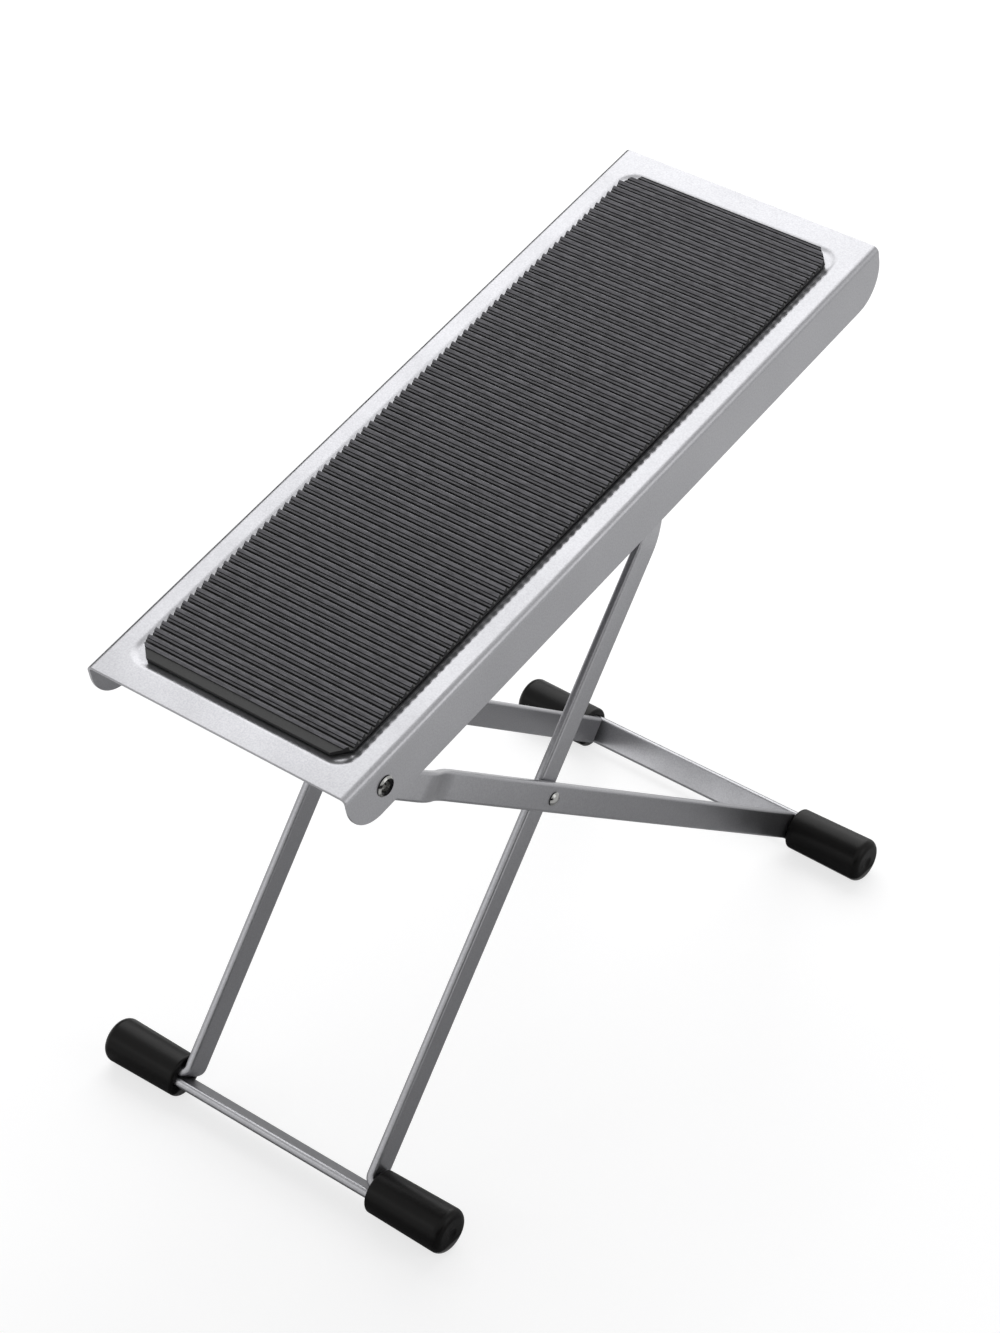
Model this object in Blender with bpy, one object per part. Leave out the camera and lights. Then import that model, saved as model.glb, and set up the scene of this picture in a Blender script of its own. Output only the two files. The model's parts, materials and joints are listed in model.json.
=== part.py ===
"""Folding guitar footrest with five heights, shown at its highest.

A pressed footplate stands on two crossed frames bent from flat steel strip.
Lengths are in metres, +Z is up and +Y runs from the low end to the high end.
The origin is on the floor under the middle of the whole footrest.
"""
import bpy
import bmesh
from math import acos, asin, atan, atan2, cos, hypot, pi, radians, sin, sqrt
from mathutils import Vector

# Clearances between pieces that touch or turn on each other
GAP = 0.0003
HOLE_CLEARANCE = 0.0003
CUT_OVERRUN = 0.004

# Footplate: one pressed sheet with two side flanges and a shallow pan
PLATE_LENGTH = 0.290
PLATE_WIDTH = 0.108
SHEET = 0.0011
BEND_RADIUS = 0.0038
FLANGE_DEPTH = 0.0194
LOBE_RADIUS = 0.0135
PAN_BORDER = 0.0090
PAN_DEPTH = 0.0012
PAN_RIM = 0.0014
PAN_CORNER_RADIUS = 0.0062

# Ribbed rubber mat and the film that glues it into the pan
FILM_THICKNESS = 0.0002
MAT_SIDE_MARGIN = 0.0016
MAT_END_MARGIN = 0.0021
MAT_CORNER_CUT = 0.0052
MAT_BASE = 0.0010
RIB_HEIGHT = 0.0019
RIB_PITCH = 0.00341
GROOVE_TOP = 0.0017
GROOVE_FLOOR = 0.0013
FIRST_GROOVE = 0.0038

# Steel strip that both frames are bent from
STRIP_WIDTH = 0.0106
STRIP_THICKNESS = 0.0032
STRIP_EDGE_RADIUS = 0.0009
ARM_JOGGLE_START = 0.0265
LEG_JOGGLE_START = 0.0215
JOGGLE_LENGTH = 0.0240
FOOT_BEND_RADIUS = 0.0032
HAIRPIN_GAP = 0.0005
EAR_LENGTH = 0.0270

# Pivots: rivet places along the strips, from hole to hole
PIVOT_SETBACK = 0.0170
PIVOT_DROP = 0.0098
PLATE_TO_CROSS = 0.1180
LOWER_ARM_LENGTH = 0.1902
LOWER_LEG_LENGTH = 0.1475
CROSS_TO_ROD = 0.1341
CROSS_OUTER_FACE = 0.0476
LEG_TOP_INSET = 0.0038

# Rivets and washers
WASHER_THICKNESS = 0.0005
WASHER_RADIUS = 0.0048
PLATE_RIVET_SHANK = 0.0022
PLATE_RIVET_HEAD = 0.0034
PLATE_RIVET_DOME = 0.0026
CROSS_RIVET_SHANK = 0.0019
CROSS_RIVET_HEAD = 0.0026
CROSS_RIVET_DOME = 0.0012
TAIL_RADIUS = 0.0032
TAIL_THICKNESS = 0.0014
TAIL_CHAMFER = 0.0004

# Support rod between the tops of the front frame
ROD_RADIUS = 0.0030
ROD_SPIGOT_RADIUS = 0.0021
ROD_HEAD_RADIUS = 0.0035
ROD_HEAD_THICKNESS = 0.0013
ROD_WASHER_THICKNESS = 0.0008
ROD_WASHER_RADIUS = 0.0045

# Notched rack rails under the pan
RACK_SPACING = 0.0640
RACK_SHEET = 0.0015
RACK_FLANGE = 0.0110
RACK_BEND_RADIUS = 0.0020
RACK_NOTCHES = 5
NOTCH_PITCH = 0.01375
NOTCH_CLEARANCE = 0.0003
NOTCH_LIP = 0.0003
NOTCH_FLARE = 0.0026
RACK_LEAD = 0.0120
RACK_TAIL = 0.0030
RACK_RAMP = 0.0060
HIGH_NOTCH = 0.1809

# Rubber foot caps
CAP_LENGTH = 0.0325
CAP_CLOSED_RADIUS = 0.0085
CAP_MOUTH_RADIUS = 0.0081
CAP_CLOSED_ROUND = 0.0030
CAP_MOUTH_ROUND = 0.0012
CAP_SETOFF = 0.0009
CAP_SOCKET_DEPTH = 0.0290
CAP_DIMPLE_RADIUS = 0.0026
CAP_DIMPLE_DEPTH = 0.0006
FOOT_FLAT = 0.0003

# Facet counts
BEND_STEPS = 6
CORNER_STEPS = 7
LOBE_STEPS = 12
RIM_STEPS = 4
EDGE_STEPS = 2
END_STEPS = 7
ROUND_SIDES = 24
CAP_SIDES = 32
DOME_STEPS = 4
ROOT_STEPS = 8

SIDES = (("left", -1), ("right", 1))


def place_across():
    """Places across the width, each from the one outside it."""
    flange_inner = PLATE_WIDTH / 2 - SHEET
    washer_room = WASHER_THICKNESS + 2 * GAP
    across = {
        "flange_outer": PLATE_WIDTH / 2,
        "flange_inner": flange_inner,
        "plate_washer": flange_inner - GAP,
        "arm_top": flange_inner - washer_room - STRIP_THICKNESS / 2,
        "arm": CROSS_OUTER_FACE - STRIP_THICKNESS / 2,
        "cross_washer": CROSS_OUTER_FACE - STRIP_THICKNESS - GAP,
    }
    across["leg"] = across["arm"] - STRIP_THICKNESS - washer_room
    across["leg_top"] = across["leg"] - LEG_TOP_INSET
    return across


def triangle_angle(near_a, near_b, far):
    """Angle between two sides of a triangle, opposite its third side."""
    return acos((near_a ** 2 + near_b ** 2 - far ** 2) / (2 * near_a * near_b))


def solve_stance():
    """Angles and pivot places of the footrest standing on its highest notch."""
    rod_drop = rod_depth_below_pivot()
    reach = hypot(HIGH_NOTCH, rod_drop)
    arm_to_plate = triangle_angle(PLATE_TO_CROSS, reach, CROSS_TO_ROD) + atan(rod_drop / HIGH_NOTCH)
    crossing = triangle_angle(PLATE_TO_CROSS, CROSS_TO_ROD, reach)
    base = sqrt(
        LOWER_ARM_LENGTH ** 2
        + LOWER_LEG_LENGTH ** 2
        - 2 * LOWER_ARM_LENGTH * LOWER_LEG_LENGTH * cos(crossing)
    )
    cross_rise = LOWER_ARM_LENGTH * LOWER_LEG_LENGTH * sin(crossing) / base
    arm_slope = asin(cross_rise / LOWER_ARM_LENGTH)
    leg_slope = asin(cross_rise / LOWER_LEG_LENGTH)
    tilt = arm_to_plate - arm_slope
    arm_length = PLATE_TO_CROSS + LOWER_ARM_LENGTH
    foot_height = CAP_CLOSED_RADIUS - FOOT_FLAT
    plate_pivot_z = foot_height + arm_length * sin(arm_slope)
    # The plate's low front edge and its high rear lobes are the ends of the whole length
    front_end = -PIVOT_SETBACK * cos(tilt) - PIVOT_DROP * sin(tilt)
    lobe_along = PLATE_LENGTH - PIVOT_SETBACK - LOBE_RADIUS
    lobe_below = FLANGE_DEPTH - PIVOT_DROP - LOBE_RADIUS
    rear_end = lobe_along * cos(tilt) + lobe_below * sin(tilt) + LOBE_RADIUS
    plate_pivot_y = -(front_end + rear_end) / 2
    cross_y = plate_pivot_y + PLATE_TO_CROSS * cos(arm_slope)
    cross_z = plate_pivot_z - PLATE_TO_CROSS * sin(arm_slope)
    return {
        "tilt": tilt,
        "arm_slope": arm_slope,
        "leg_slope": leg_slope,
        "plate_pivot": Vector((0, plate_pivot_y, plate_pivot_z)),
        "cross": Vector((0, cross_y, cross_z)),
    }


def pan_underside():
    """Depth of the pan's underside below the plate's top face."""
    return PAN_DEPTH + SHEET


def notch_radius():
    """Radius of a notch's root, round the rod with its clearance."""
    return ROD_RADIUS + NOTCH_CLEARANCE


def rack_tip_depth():
    """Depth of the rack's tooth tips below the plate's top face."""
    return pan_underside() + GAP + RACK_SHEET + RACK_BEND_RADIUS + notch_radius() + NOTCH_LIP


def rod_depth_below_pivot():
    """The rod lies just clear under the tooth tips, so that the frames can fold."""
    return rack_tip_depth() + GAP + ROD_RADIUS - PIVOT_DROP


def arc(centre_u, centre_v, radius, start, stop, steps):
    """Points along an arc, both ends included."""
    points = []
    for step in range(steps + 1):
        angle = start + (stop - start) * step / steps
        points.append((centre_u + radius * cos(angle), centre_v + radius * sin(angle)))
    return points


def finish_mesh(bm, name):
    """Close a bmesh into a mesh with its faces out and its round parts smooth."""
    bmesh.ops.recalc_face_normals(bm, faces=bm.faces[:])
    mesh = bpy.data.meshes.new(name)
    bm.to_mesh(mesh)
    bm.free()
    mesh.shade_smooth()
    mesh.set_sharp_from_angle(angle=radians(32.0))
    return mesh


def prism(outline, start, depth):
    """Extrude a closed outline by one vector. Outline points are Vectors."""
    bm = bmesh.new()
    face = bm.faces.new([bm.verts.new(point + start) for point in outline])
    grown = bmesh.ops.extrude_face_region(bm, geom=[face])
    moved = [item for item in grown["geom"] if isinstance(item, bmesh.types.BMVert)]
    bmesh.ops.translate(bm, verts=moved, vec=depth)
    return bm


def prism_across(outline_yz, low, high):
    """Prism along X between two places."""
    outline = [Vector((0, y, z)) for y, z in outline_yz]
    return prism(outline, Vector((low, 0, 0)), Vector((high - low, 0, 0)))


def prism_along(outline_xz, low, high):
    """Prism along Y between two places."""
    outline = [Vector((x, 0, z)) for x, z in outline_xz]
    return prism(outline, Vector((0, low, 0)), Vector((0, high - low, 0)))


def prism_up(outline_xy, low, high):
    """Prism along Z between two heights."""
    outline = [Vector((x, y, 0)) for x, y in outline_xy]
    return prism(outline, Vector((0, 0, low)), Vector((0, 0, high - low)))


def loft(rings):
    """Skin a row of rings that have the same number of points, and close both ends."""
    bm = bmesh.new()
    rows = [[bm.verts.new(point) for point in ring] for ring in rings]
    for near, far in zip(rows, rows[1:]):
        count = len(near)
        for index in range(count):
            after = (index + 1) % count
            bm.faces.new((near[index], near[after], far[after], far[index]))
    bm.faces.new(list(reversed(rows[0])))
    bm.faces.new(rows[-1])
    return bm


def turned(profile, sides, ring=False):
    """Spin a profile of (place along X, radius) points round the X axis."""
    bm = bmesh.new()
    verts = [bm.verts.new((x, 0, radius)) for x, radius in profile]
    edges = [bm.edges.new(pair) for pair in zip(verts, verts[1:])]
    if ring:
        edges.append(bm.edges.new((verts[-1], verts[0])))
    bmesh.ops.spin(
        bm, geom=verts + edges, cent=(0, 0, 0), axis=(1, 0, 0), angle=2 * pi, steps=sides, use_merge=True
    )
    bmesh.ops.remove_doubles(bm, verts=bm.verts[:], dist=GAP / 100)
    return bm


def make_material(name, colour, roughness, metallic):
    """A Principled material with the piece's own colour."""
    material = bpy.data.materials.new(name)
    material.use_nodes = True
    shader = material.node_tree.nodes["Principled BSDF"]
    shader.inputs["Base Color"].default_value = (*colour, 1.0)
    shader.inputs["Roughness"].default_value = roughness
    shader.inputs["Metallic"].default_value = metallic
    material.diffuse_color = (*colour, 1.0)
    return material


def add_piece(name, bm, finish, axis, place=(0, 0, 0)):
    """Put a finished piece in the scene under its axis."""
    piece = bpy.data.objects.new(name, finish_mesh(bm, name))
    bpy.context.scene.collection.objects.link(piece)
    piece.data.materials.append(make_material(name + "_finish", *finish))
    piece.parent = axis
    piece.location = place
    return piece


def add_cutter(name, bm, axis=None, place=(0, 0, 0)):
    """A shape that only cuts or joins another one."""
    cutter = bpy.data.objects.new(name, finish_mesh(bm, name))
    bpy.context.scene.collection.objects.link(cutter)
    cutter.parent = axis
    cutter.location = place
    cutter.hide_render = True
    cutter.display_type = "WIRE"
    return cutter


def combine(piece, cutter, operation):
    """Boolean modifier that stays on the piece."""
    modifier = piece.modifiers.new(cutter.name, "BOOLEAN")
    modifier.operation = operation
    modifier.solver = "EXACT"
    modifier.object = cutter


def add_axis(name, place, turn):
    """Empty on a pivot axis, turned about X with the piece that it carries."""
    axis = bpy.data.objects.new(name, None)
    bpy.context.scene.collection.objects.link(axis)
    axis.location = place
    axis.rotation_euler = (turn, 0, 0)
    return axis


# Colours are linear values: satin silver coat, bright steel, zinc, mild steel and two rubbers
SILVER_COAT = ((0.56, 0.57, 0.60), 0.42, 0.55)
BRIGHT_STEEL = ((0.62, 0.61, 0.60), 0.22, 1.0)
ZINC_STEEL = ((0.50, 0.52, 0.55), 0.38, 1.0)
PLATED_STEEL = ((0.42, 0.43, 0.45), 0.45, 0.9)
MAT_RUBBER = ((0.030, 0.030, 0.032), 0.62, 0.0)
CAP_RUBBER = ((0.012, 0.012, 0.013), 0.45, 0.0)
FILM_GLUE = ((0.60, 0.58, 0.50), 0.55, 0.0)


def channel_section():
    """Outline across the plate: flanges, bends and top, outside and then inside."""
    half = PLATE_WIDTH / 2
    top = PIVOT_DROP
    foot = top - FLANGE_DEPTH - CUT_OVERRUN
    bend = half - BEND_RADIUS
    inner = BEND_RADIUS - SHEET
    outline = [(half, foot)]
    outline += arc(bend, top - BEND_RADIUS, BEND_RADIUS, 0, pi / 2, BEND_STEPS)
    outline += arc(-bend, top - BEND_RADIUS, BEND_RADIUS, pi / 2, pi, BEND_STEPS)
    outline += [(-half, foot), (SHEET - half, foot)]
    outline += arc(-bend, top - BEND_RADIUS, inner, pi, pi / 2, BEND_STEPS)
    outline += arc(bend, top - BEND_RADIUS, inner, pi / 2, 0, BEND_STEPS)
    outline += [(half - SHEET, foot)]
    return outline


def plate_side_outline():
    """Side view of the plate with its round lower flange corners."""
    front = -PIVOT_SETBACK
    rear = front + PLATE_LENGTH
    top = PIVOT_DROP + CUT_OVERRUN
    foot = PIVOT_DROP - FLANGE_DEPTH
    outline = [(rear, top), (front, top)]
    outline += arc(front + LOBE_RADIUS, foot + LOBE_RADIUS, LOBE_RADIUS, pi, pi * 3 / 2, LOBE_STEPS)
    outline += arc(rear - LOBE_RADIUS, foot + LOBE_RADIUS, LOBE_RADIUS, -pi / 2, 0, LOBE_STEPS)
    return outline


def pan_ring(inset, height):
    """Rounded rectangle of the pan, moved in from its outer rim line."""
    half = PLATE_WIDTH / 2 - PAN_BORDER - inset
    front = PAN_BORDER - PIVOT_SETBACK + inset
    rear = PLATE_LENGTH - PIVOT_SETBACK - PAN_BORDER - inset
    radius = PAN_CORNER_RADIUS - inset
    corners = [
        (half - radius, rear - radius, 0),
        (radius - half, rear - radius, pi / 2),
        (radius - half, front + radius, pi),
        (half - radius, front + radius, pi * 3 / 2),
    ]
    ring = []
    for centre_x, centre_y, start in corners:
        for x, y in arc(centre_x, centre_y, radius, start, start + pi / 2, CORNER_STEPS):
            ring.append(Vector((x, y, height)))
    return ring


def pan_press(surface, start_height):
    """Pressed pan shape below one face of the sheet, with its soft rolled rim."""
    rings = [pan_ring(0, start_height)]
    for step in range(RIM_STEPS + 1):
        share = step / RIM_STEPS
        sink = PAN_DEPTH * (1 - cos(pi * share)) / 2
        rings.append(pan_ring(PAN_RIM * share, surface - sink))
    return loft(rings)


def build_footplate(axis):
    """Pressed footplate with flanges, pan and rivet holes."""
    front = -PIVOT_SETBACK
    top = PIVOT_DROP
    underside = top - SHEET
    channel = prism_along(channel_section(), front, front + PLATE_LENGTH)
    plate = add_piece("footplate", channel, SILVER_COAT, axis)
    boss = add_cutter("pan_boss", pan_press(underside, underside + SHEET / 2), axis)
    combine(plate, boss, "UNION")
    hollow = add_cutter("pan_hollow", pan_press(top, top + CUT_OVERRUN), axis)
    combine(plate, hollow, "DIFFERENCE")
    reach = PLATE_WIDTH / 2 + CUT_OVERRUN
    side_view = add_cutter("plate_side_view", prism_across(plate_side_outline(), -reach, reach), axis)
    combine(plate, side_view, "INTERSECT")
    add_hole(plate, "plate_pivot_holes", axis, 0, PLATE_RIVET_SHANK, reach)
    return plate


def add_hole(piece, name, axis, along, shank, reach):
    """Bore through both sides of a piece, round a pin with its clearance."""
    radius = shank + HOLE_CLEARANCE
    profile = [(-reach, 0), (-reach, radius), (reach, radius), (reach, 0)]
    bore = add_cutter(name, turned(profile, ROUND_SIDES), axis, (0, along, 0))
    combine(piece, bore, "DIFFERENCE")


def mat_outline(margin):
    """Mat seen from above, with its four cut corners, in from its true edge by a margin."""
    half = PLATE_WIDTH / 2 - PAN_BORDER - MAT_SIDE_MARGIN - margin
    front = PAN_BORDER - PIVOT_SETBACK + MAT_END_MARGIN + margin
    rear = PLATE_LENGTH - PIVOT_SETBACK - PAN_BORDER - MAT_END_MARGIN - margin
    cut = MAT_CORNER_CUT
    return [
        (half, front + cut),
        (half, rear - cut),
        (half - cut, rear),
        (cut - half, rear),
        (-half, rear - cut),
        (-half, front + cut),
        (cut - half, front),
        (half - cut, front),
    ]


def mat_seat():
    """Height of the mat's underside above the pivot axis."""
    return PIVOT_DROP - PAN_DEPTH + 2 * GAP + FILM_THICKNESS


def rib_profile():
    """Side view of the mat: a flat back and one groove after another."""
    front = PAN_BORDER - PIVOT_SETBACK + MAT_END_MARGIN
    rear = PLATE_LENGTH - PIVOT_SETBACK - PAN_BORDER - MAT_END_MARGIN
    base = mat_seat()
    floor = base + MAT_BASE
    top = floor + RIB_HEIGHT
    outline = [(rear, base), (front, base), (front, top)]
    centre = front + FIRST_GROOVE
    while centre + GROOVE_TOP / 2 < rear:
        outline.append((centre - GROOVE_TOP / 2, top))
        outline.append((centre - GROOVE_FLOOR / 2, floor))
        outline.append((centre + GROOVE_FLOOR / 2, floor))
        outline.append((centre + GROOVE_TOP / 2, top))
        centre += RIB_PITCH
    outline.append((rear, top))
    return outline


def build_mat(axis):
    """Ribbed rubber mat and its glue film in the pan."""
    film_low = PIVOT_DROP - PAN_DEPTH + GAP
    film = prism_up(mat_outline(MAT_SIDE_MARGIN), film_low, film_low + FILM_THICKNESS)
    add_piece("mat_adhesive_film", film, FILM_GLUE, axis)
    reach = PLATE_WIDTH / 2
    mat = add_piece("ribbed_mat", prism_across(rib_profile(), -reach, reach), MAT_RUBBER, axis)
    low = mat_seat() - CUT_OVERRUN
    high = mat_seat() + MAT_BASE + RIB_HEIGHT + CUT_OVERRUN
    trim = add_cutter("mat_trim", prism_up(mat_outline(0), low, high), axis)
    combine(mat, trim, "INTERSECT")


def rack_section(side):
    """Angle section of a rack rail: flange under the pan and web down to the teeth."""
    web = side * RACK_SPACING / 2
    top = PIVOT_DROP - pan_underside() - GAP
    tip = PIVOT_DROP - rack_tip_depth()
    outer = RACK_BEND_RADIUS
    inner = RACK_BEND_RADIUS - RACK_SHEET
    bend = arc(-outer, top - outer, outer, 0, pi / 2, BEND_STEPS)
    back = arc(-outer, top - outer, inner, pi / 2, 0, BEND_STEPS)
    section = [(0, tip - CUT_OVERRUN)] + bend
    section += [(-RACK_FLANGE, top), (-RACK_FLANGE, top - RACK_SHEET)]
    section += back + [(-RACK_SHEET, tip - CUT_OVERRUN)]
    return [(web + side * x, z) for x, z in section]


def rack_side_outline():
    """Side view of a rack: five notches, steep on the side that carries the load."""
    top = PIVOT_DROP - pan_underside()
    tip = PIVOT_DROP - rack_tip_depth()
    root = notch_radius()
    seat = tip + NOTCH_LIP
    first = HIGH_NOTCH - RACK_LEAD
    last = HIGH_NOTCH + (RACK_NOTCHES - 1) * NOTCH_PITCH + root + RACK_TAIL
    outline = [(last + RACK_RAMP, top), (first - RACK_RAMP, top)]
    outline += [(first - RACK_RAMP, top - RACK_SHEET - GAP), (first, tip)]
    for number in range(RACK_NOTCHES):
        centre = HIGH_NOTCH + number * NOTCH_PITCH
        outline.append((centre - root - NOTCH_FLARE, tip))
        outline += arc(centre, seat, root, pi, 0, ROOT_STEPS)
        outline.append((centre + root, tip))
    outline += [(last - RACK_TAIL / 2, tip), (last + RACK_RAMP, top - RACK_SHEET - GAP)]
    return outline


def build_racks(axis):
    """Notched rails, one near each leg, spot welded under the pan."""
    first = HIGH_NOTCH - RACK_LEAD - RACK_RAMP - CUT_OVERRUN
    last = PLATE_LENGTH - PIVOT_SETBACK
    reach = RACK_SPACING / 2
    for name, side in SIDES:
        rack = add_piece("rack_" + name, prism_along(rack_section(side), first, last), ZINC_STEEL, axis)
        low, high = sorted((side * (reach - RACK_FLANGE - CUT_OVERRUN), side * (reach + CUT_OVERRUN)))
        view = add_cutter("rack_view_" + name, prism_across(rack_side_outline(), low, high), axis)
        combine(rack, view, "INTERSECT")


def strip_section(half_width):
    """Strip cut across: (through the thickness, across the width) points with soft edges."""
    half_thick = STRIP_THICKNESS / 2
    edge = min(STRIP_EDGE_RADIUS, half_width)
    flat = half_width - edge
    web = half_thick - edge
    points = arc(web, flat, edge, 0, pi / 2, EDGE_STEPS)
    points += arc(-web, flat, edge, pi / 2, pi, EDGE_STEPS)
    points += arc(-web, -flat, edge, pi, pi * 3 / 2, EDGE_STEPS)
    points += arc(web, -flat, edge, -pi / 2, 0, EDGE_STEPS)
    return points


def ear_offset():
    """Distance of each layer of the folded ear from the foot cap's axis."""
    return (STRIP_THICKNESS + HAIRPIN_GAP) / 2


def half_path(top_x, main_x, joggle, foot):
    """Stations down one side of a frame to the middle of its crossbar.

    Each station is (x, v, heading, half width). v runs down the strip from its top
    hole, and heading is measured from the way down to outwards.
    """
    stations = []
    radius = STRIP_WIDTH / 2
    for step in range(1, END_STEPS + 1):
        angle = pi / 2 * step / END_STEPS
        stations.append((top_x, -radius * cos(angle), 0, radius * sin(angle)))
    # Two equal arcs carry the strip in to its main plane
    inset = top_x - main_x
    swing = 2 * atan2(inset, JOGGLE_LENGTH)
    bend = (JOGGLE_LENGTH ** 2 + inset ** 2) / (4 * inset)
    for step in range(BEND_STEPS + 1):
        angle = swing * step / BEND_STEPS
        stations.append((top_x - bend * (1 - cos(angle)), joggle + bend * sin(angle), -angle, radius))
    for step in range(1, BEND_STEPS + 1):
        angle = swing * (1 - step / BEND_STEPS)
        x = main_x + bend * (1 - cos(angle))
        v = joggle + JOGGLE_LENGTH - bend * sin(angle)
        stations.append((x, v, -angle, radius))
    # The foot bends outwards, doubles back in a hairpin and returns as the crossbar
    layer = ear_offset()
    ear_v = foot - layer
    for step in range(BEND_STEPS + 1):
        angle = pi / 2 * step / BEND_STEPS
        x = main_x + FOOT_BEND_RADIUS * (1 - cos(angle))
        v = ear_v - FOOT_BEND_RADIUS * (1 - sin(angle))
        stations.append((x, v, angle, radius))
    tip = main_x + FOOT_BEND_RADIUS + EAR_LENGTH - layer - STRIP_THICKNESS / 2
    for step in range(BEND_STEPS + 1):
        angle = pi * step / BEND_STEPS
        stations.append((tip + layer * sin(angle), foot - layer * cos(angle), pi / 2 - angle, radius))
    stations.append((0, foot + layer, -pi / 2, radius))
    return stations


def strip_rings(stations, top_y, down):
    """Rings of the whole frame, right side first, in the frame's own axes."""
    mirrored = [(-x, v, heading, width) for x, v, heading, width in reversed(stations[:-1])]
    rings = []
    for number, (x, v, heading, width) in enumerate(stations + mirrored):
        flip = 1 if number < len(stations) else -1
        normal_x = flip * cos(heading)
        normal_v = -sin(heading)
        ring = []
        for thick, across in strip_section(width):
            point_v = v + thick * normal_v
            ring.append(Vector((x + thick * normal_x, top_y + down * point_v, down * across)))
        rings.append(ring)
    return rings


def build_frame(name, axis, top_x, main_x, joggle, foot, top_y, down):
    """One frame bent from a single strip, with the rivet holes still to be cut."""
    stations = half_path(top_x, main_x, joggle, foot)
    return add_piece(name, loft(strip_rings(stations, top_y, down)), SILVER_COAT, axis)


def dome(face_x, base_radius, height):
    """Profile of a spherical head from its rim to its crown."""
    sphere = (base_radius ** 2 + height ** 2) / (2 * height)
    centre = face_x + height - sphere
    rim_angle = acos((face_x - centre) / sphere)
    points = []
    for step in range(DOME_STEPS + 1):
        angle = rim_angle * (1 - step / DOME_STEPS)
        points.append((centre + sphere * cos(angle), sphere * sin(angle)))
    points[-1] = (points[-1][0], 0)
    return points


def rivet_profile(head_face, tail_face, shank, head_radius, head_height):
    """Profile of a closed rivet from its hammered tail to its domed head."""
    tail_end = tail_face - TAIL_THICKNESS
    profile = [(tail_end, 0), (tail_end, TAIL_RADIUS - TAIL_CHAMFER)]
    profile += [(tail_end + TAIL_CHAMFER, TAIL_RADIUS), (tail_face, TAIL_RADIUS)]
    profile += [(tail_face, shank), (head_face, shank)]
    return profile + dome(head_face, head_radius, head_height)


def mirror_profile(profile, side):
    """Profile for the left or the right side."""
    return [(side * x, radius) for x, radius in profile]


def ring_profile(low, high, bore, radius):
    """Profile of a flat washer."""
    return [(low, bore), (low, radius), (high, radius), (high, bore)]


def build_pivot(kind, axis, along, head_face, washer_face, tail_face, shank, head, height):
    """Rivet and washer of one pivot, on both sides."""
    bore = shank + HOLE_CLEARANCE
    for name, side in SIDES:
        profile = rivet_profile(head_face, tail_face, shank, head, height)
        rivet = turned(mirror_profile(profile, side), ROUND_SIDES)
        add_piece(kind + "_rivet_" + name, rivet, BRIGHT_STEEL, axis, (0, along, 0))
        flat = ring_profile(washer_face - WASHER_THICKNESS, washer_face, bore, WASHER_RADIUS)
        washer = turned(mirror_profile(flat, side), ROUND_SIDES, ring=True)
        add_piece(kind + "_washer_" + name, washer, ZINC_STEEL, axis, (0, along, 0))


def build_rod(axis, across):
    """Support rod, its spigots headed over outside the leg tops, and two washers."""
    inner = across["leg_top"] - STRIP_THICKNESS / 2 - GAP
    outer = across["leg_top"] + STRIP_THICKNESS / 2 + GAP
    head = outer + ROD_WASHER_THICKNESS + GAP
    half = [(0, ROD_RADIUS), (inner, ROD_RADIUS), (inner, ROD_SPIGOT_RADIUS), (head, ROD_SPIGOT_RADIUS)]
    half += dome(head, ROD_HEAD_RADIUS, ROD_HEAD_THICKNESS)
    mirrored = [(-x, radius) for x, radius in reversed(half[1:])]
    rod = turned(mirrored + half[1:], ROUND_SIDES)
    add_piece("support_rod", rod, BRIGHT_STEEL, axis, (0, CROSS_TO_ROD, 0))
    bore = ROD_SPIGOT_RADIUS + HOLE_CLEARANCE
    for name, side in SIDES:
        flat = ring_profile(outer, outer + ROD_WASHER_THICKNESS, bore, ROD_WASHER_RADIUS)
        washer = turned(mirror_profile(flat, side), ROUND_SIDES, ring=True)
        add_piece("rod_washer_" + name, washer, ZINC_STEEL, axis, (0, CROSS_TO_ROD, 0))


def cap_profile():
    """Outside of a foot cap from the middle of its closed end to its mouth."""
    length = CAP_LENGTH
    dimple = length - CAP_DIMPLE_DEPTH
    profile = [(dimple, 0), (dimple, CAP_DIMPLE_RADIUS - CAP_DIMPLE_DEPTH), (length, CAP_DIMPLE_RADIUS)]
    closed = CAP_CLOSED_RADIUS - CAP_CLOSED_ROUND
    profile += arc(length - CAP_CLOSED_ROUND, closed, CAP_CLOSED_ROUND, 0, pi / 2, BEND_STEPS)
    mouth = CAP_MOUTH_RADIUS - CAP_MOUTH_ROUND
    profile += arc(CAP_MOUTH_ROUND, mouth, CAP_MOUTH_ROUND, pi / 2, pi, BEND_STEPS)
    return profile + [(0, 0)]


def socket_outline():
    """Rounded slot that grips the doubled strip, in (along the strip, across) points."""
    half_v = STRIP_THICKNESS + HAIRPIN_GAP / 2 + GAP
    half_z = STRIP_WIDTH / 2 + GAP
    edge = STRIP_EDGE_RADIUS
    points = arc(half_v - edge, half_z - edge, edge, 0, pi / 2, EDGE_STEPS)
    points += arc(edge - half_v, half_z - edge, edge, pi / 2, pi, EDGE_STEPS)
    points += arc(edge - half_v, edge - half_z, edge, pi, pi * 3 / 2, EDGE_STEPS)
    points += arc(half_v - edge, edge - half_z, edge, -pi / 2, 0, EDGE_STEPS)
    return points


def build_caps(kind, axis, along, face_x, floor):
    """Pair of rubber caps pushed over a frame's ears, flattened where they stand."""
    mouth = face_x + CAP_SETOFF
    for name, side in SIDES:
        place = (side * mouth, along, 0)
        body = turned(mirror_profile(cap_profile(), side), CAP_SIDES)
        cap = add_piece("foot_cap_" + kind + "_" + name, body, CAP_RUBBER, axis, place)
        low, high = sorted((-side * CUT_OVERRUN, side * CAP_SOCKET_DEPTH))
        socket = prism_across(socket_outline(), low, high)
        combine(cap, add_cutter("socket_" + kind + "_" + name, socket, axis, place), "DIFFERENCE")
        combine(cap, floor, "DIFFERENCE")


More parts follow.
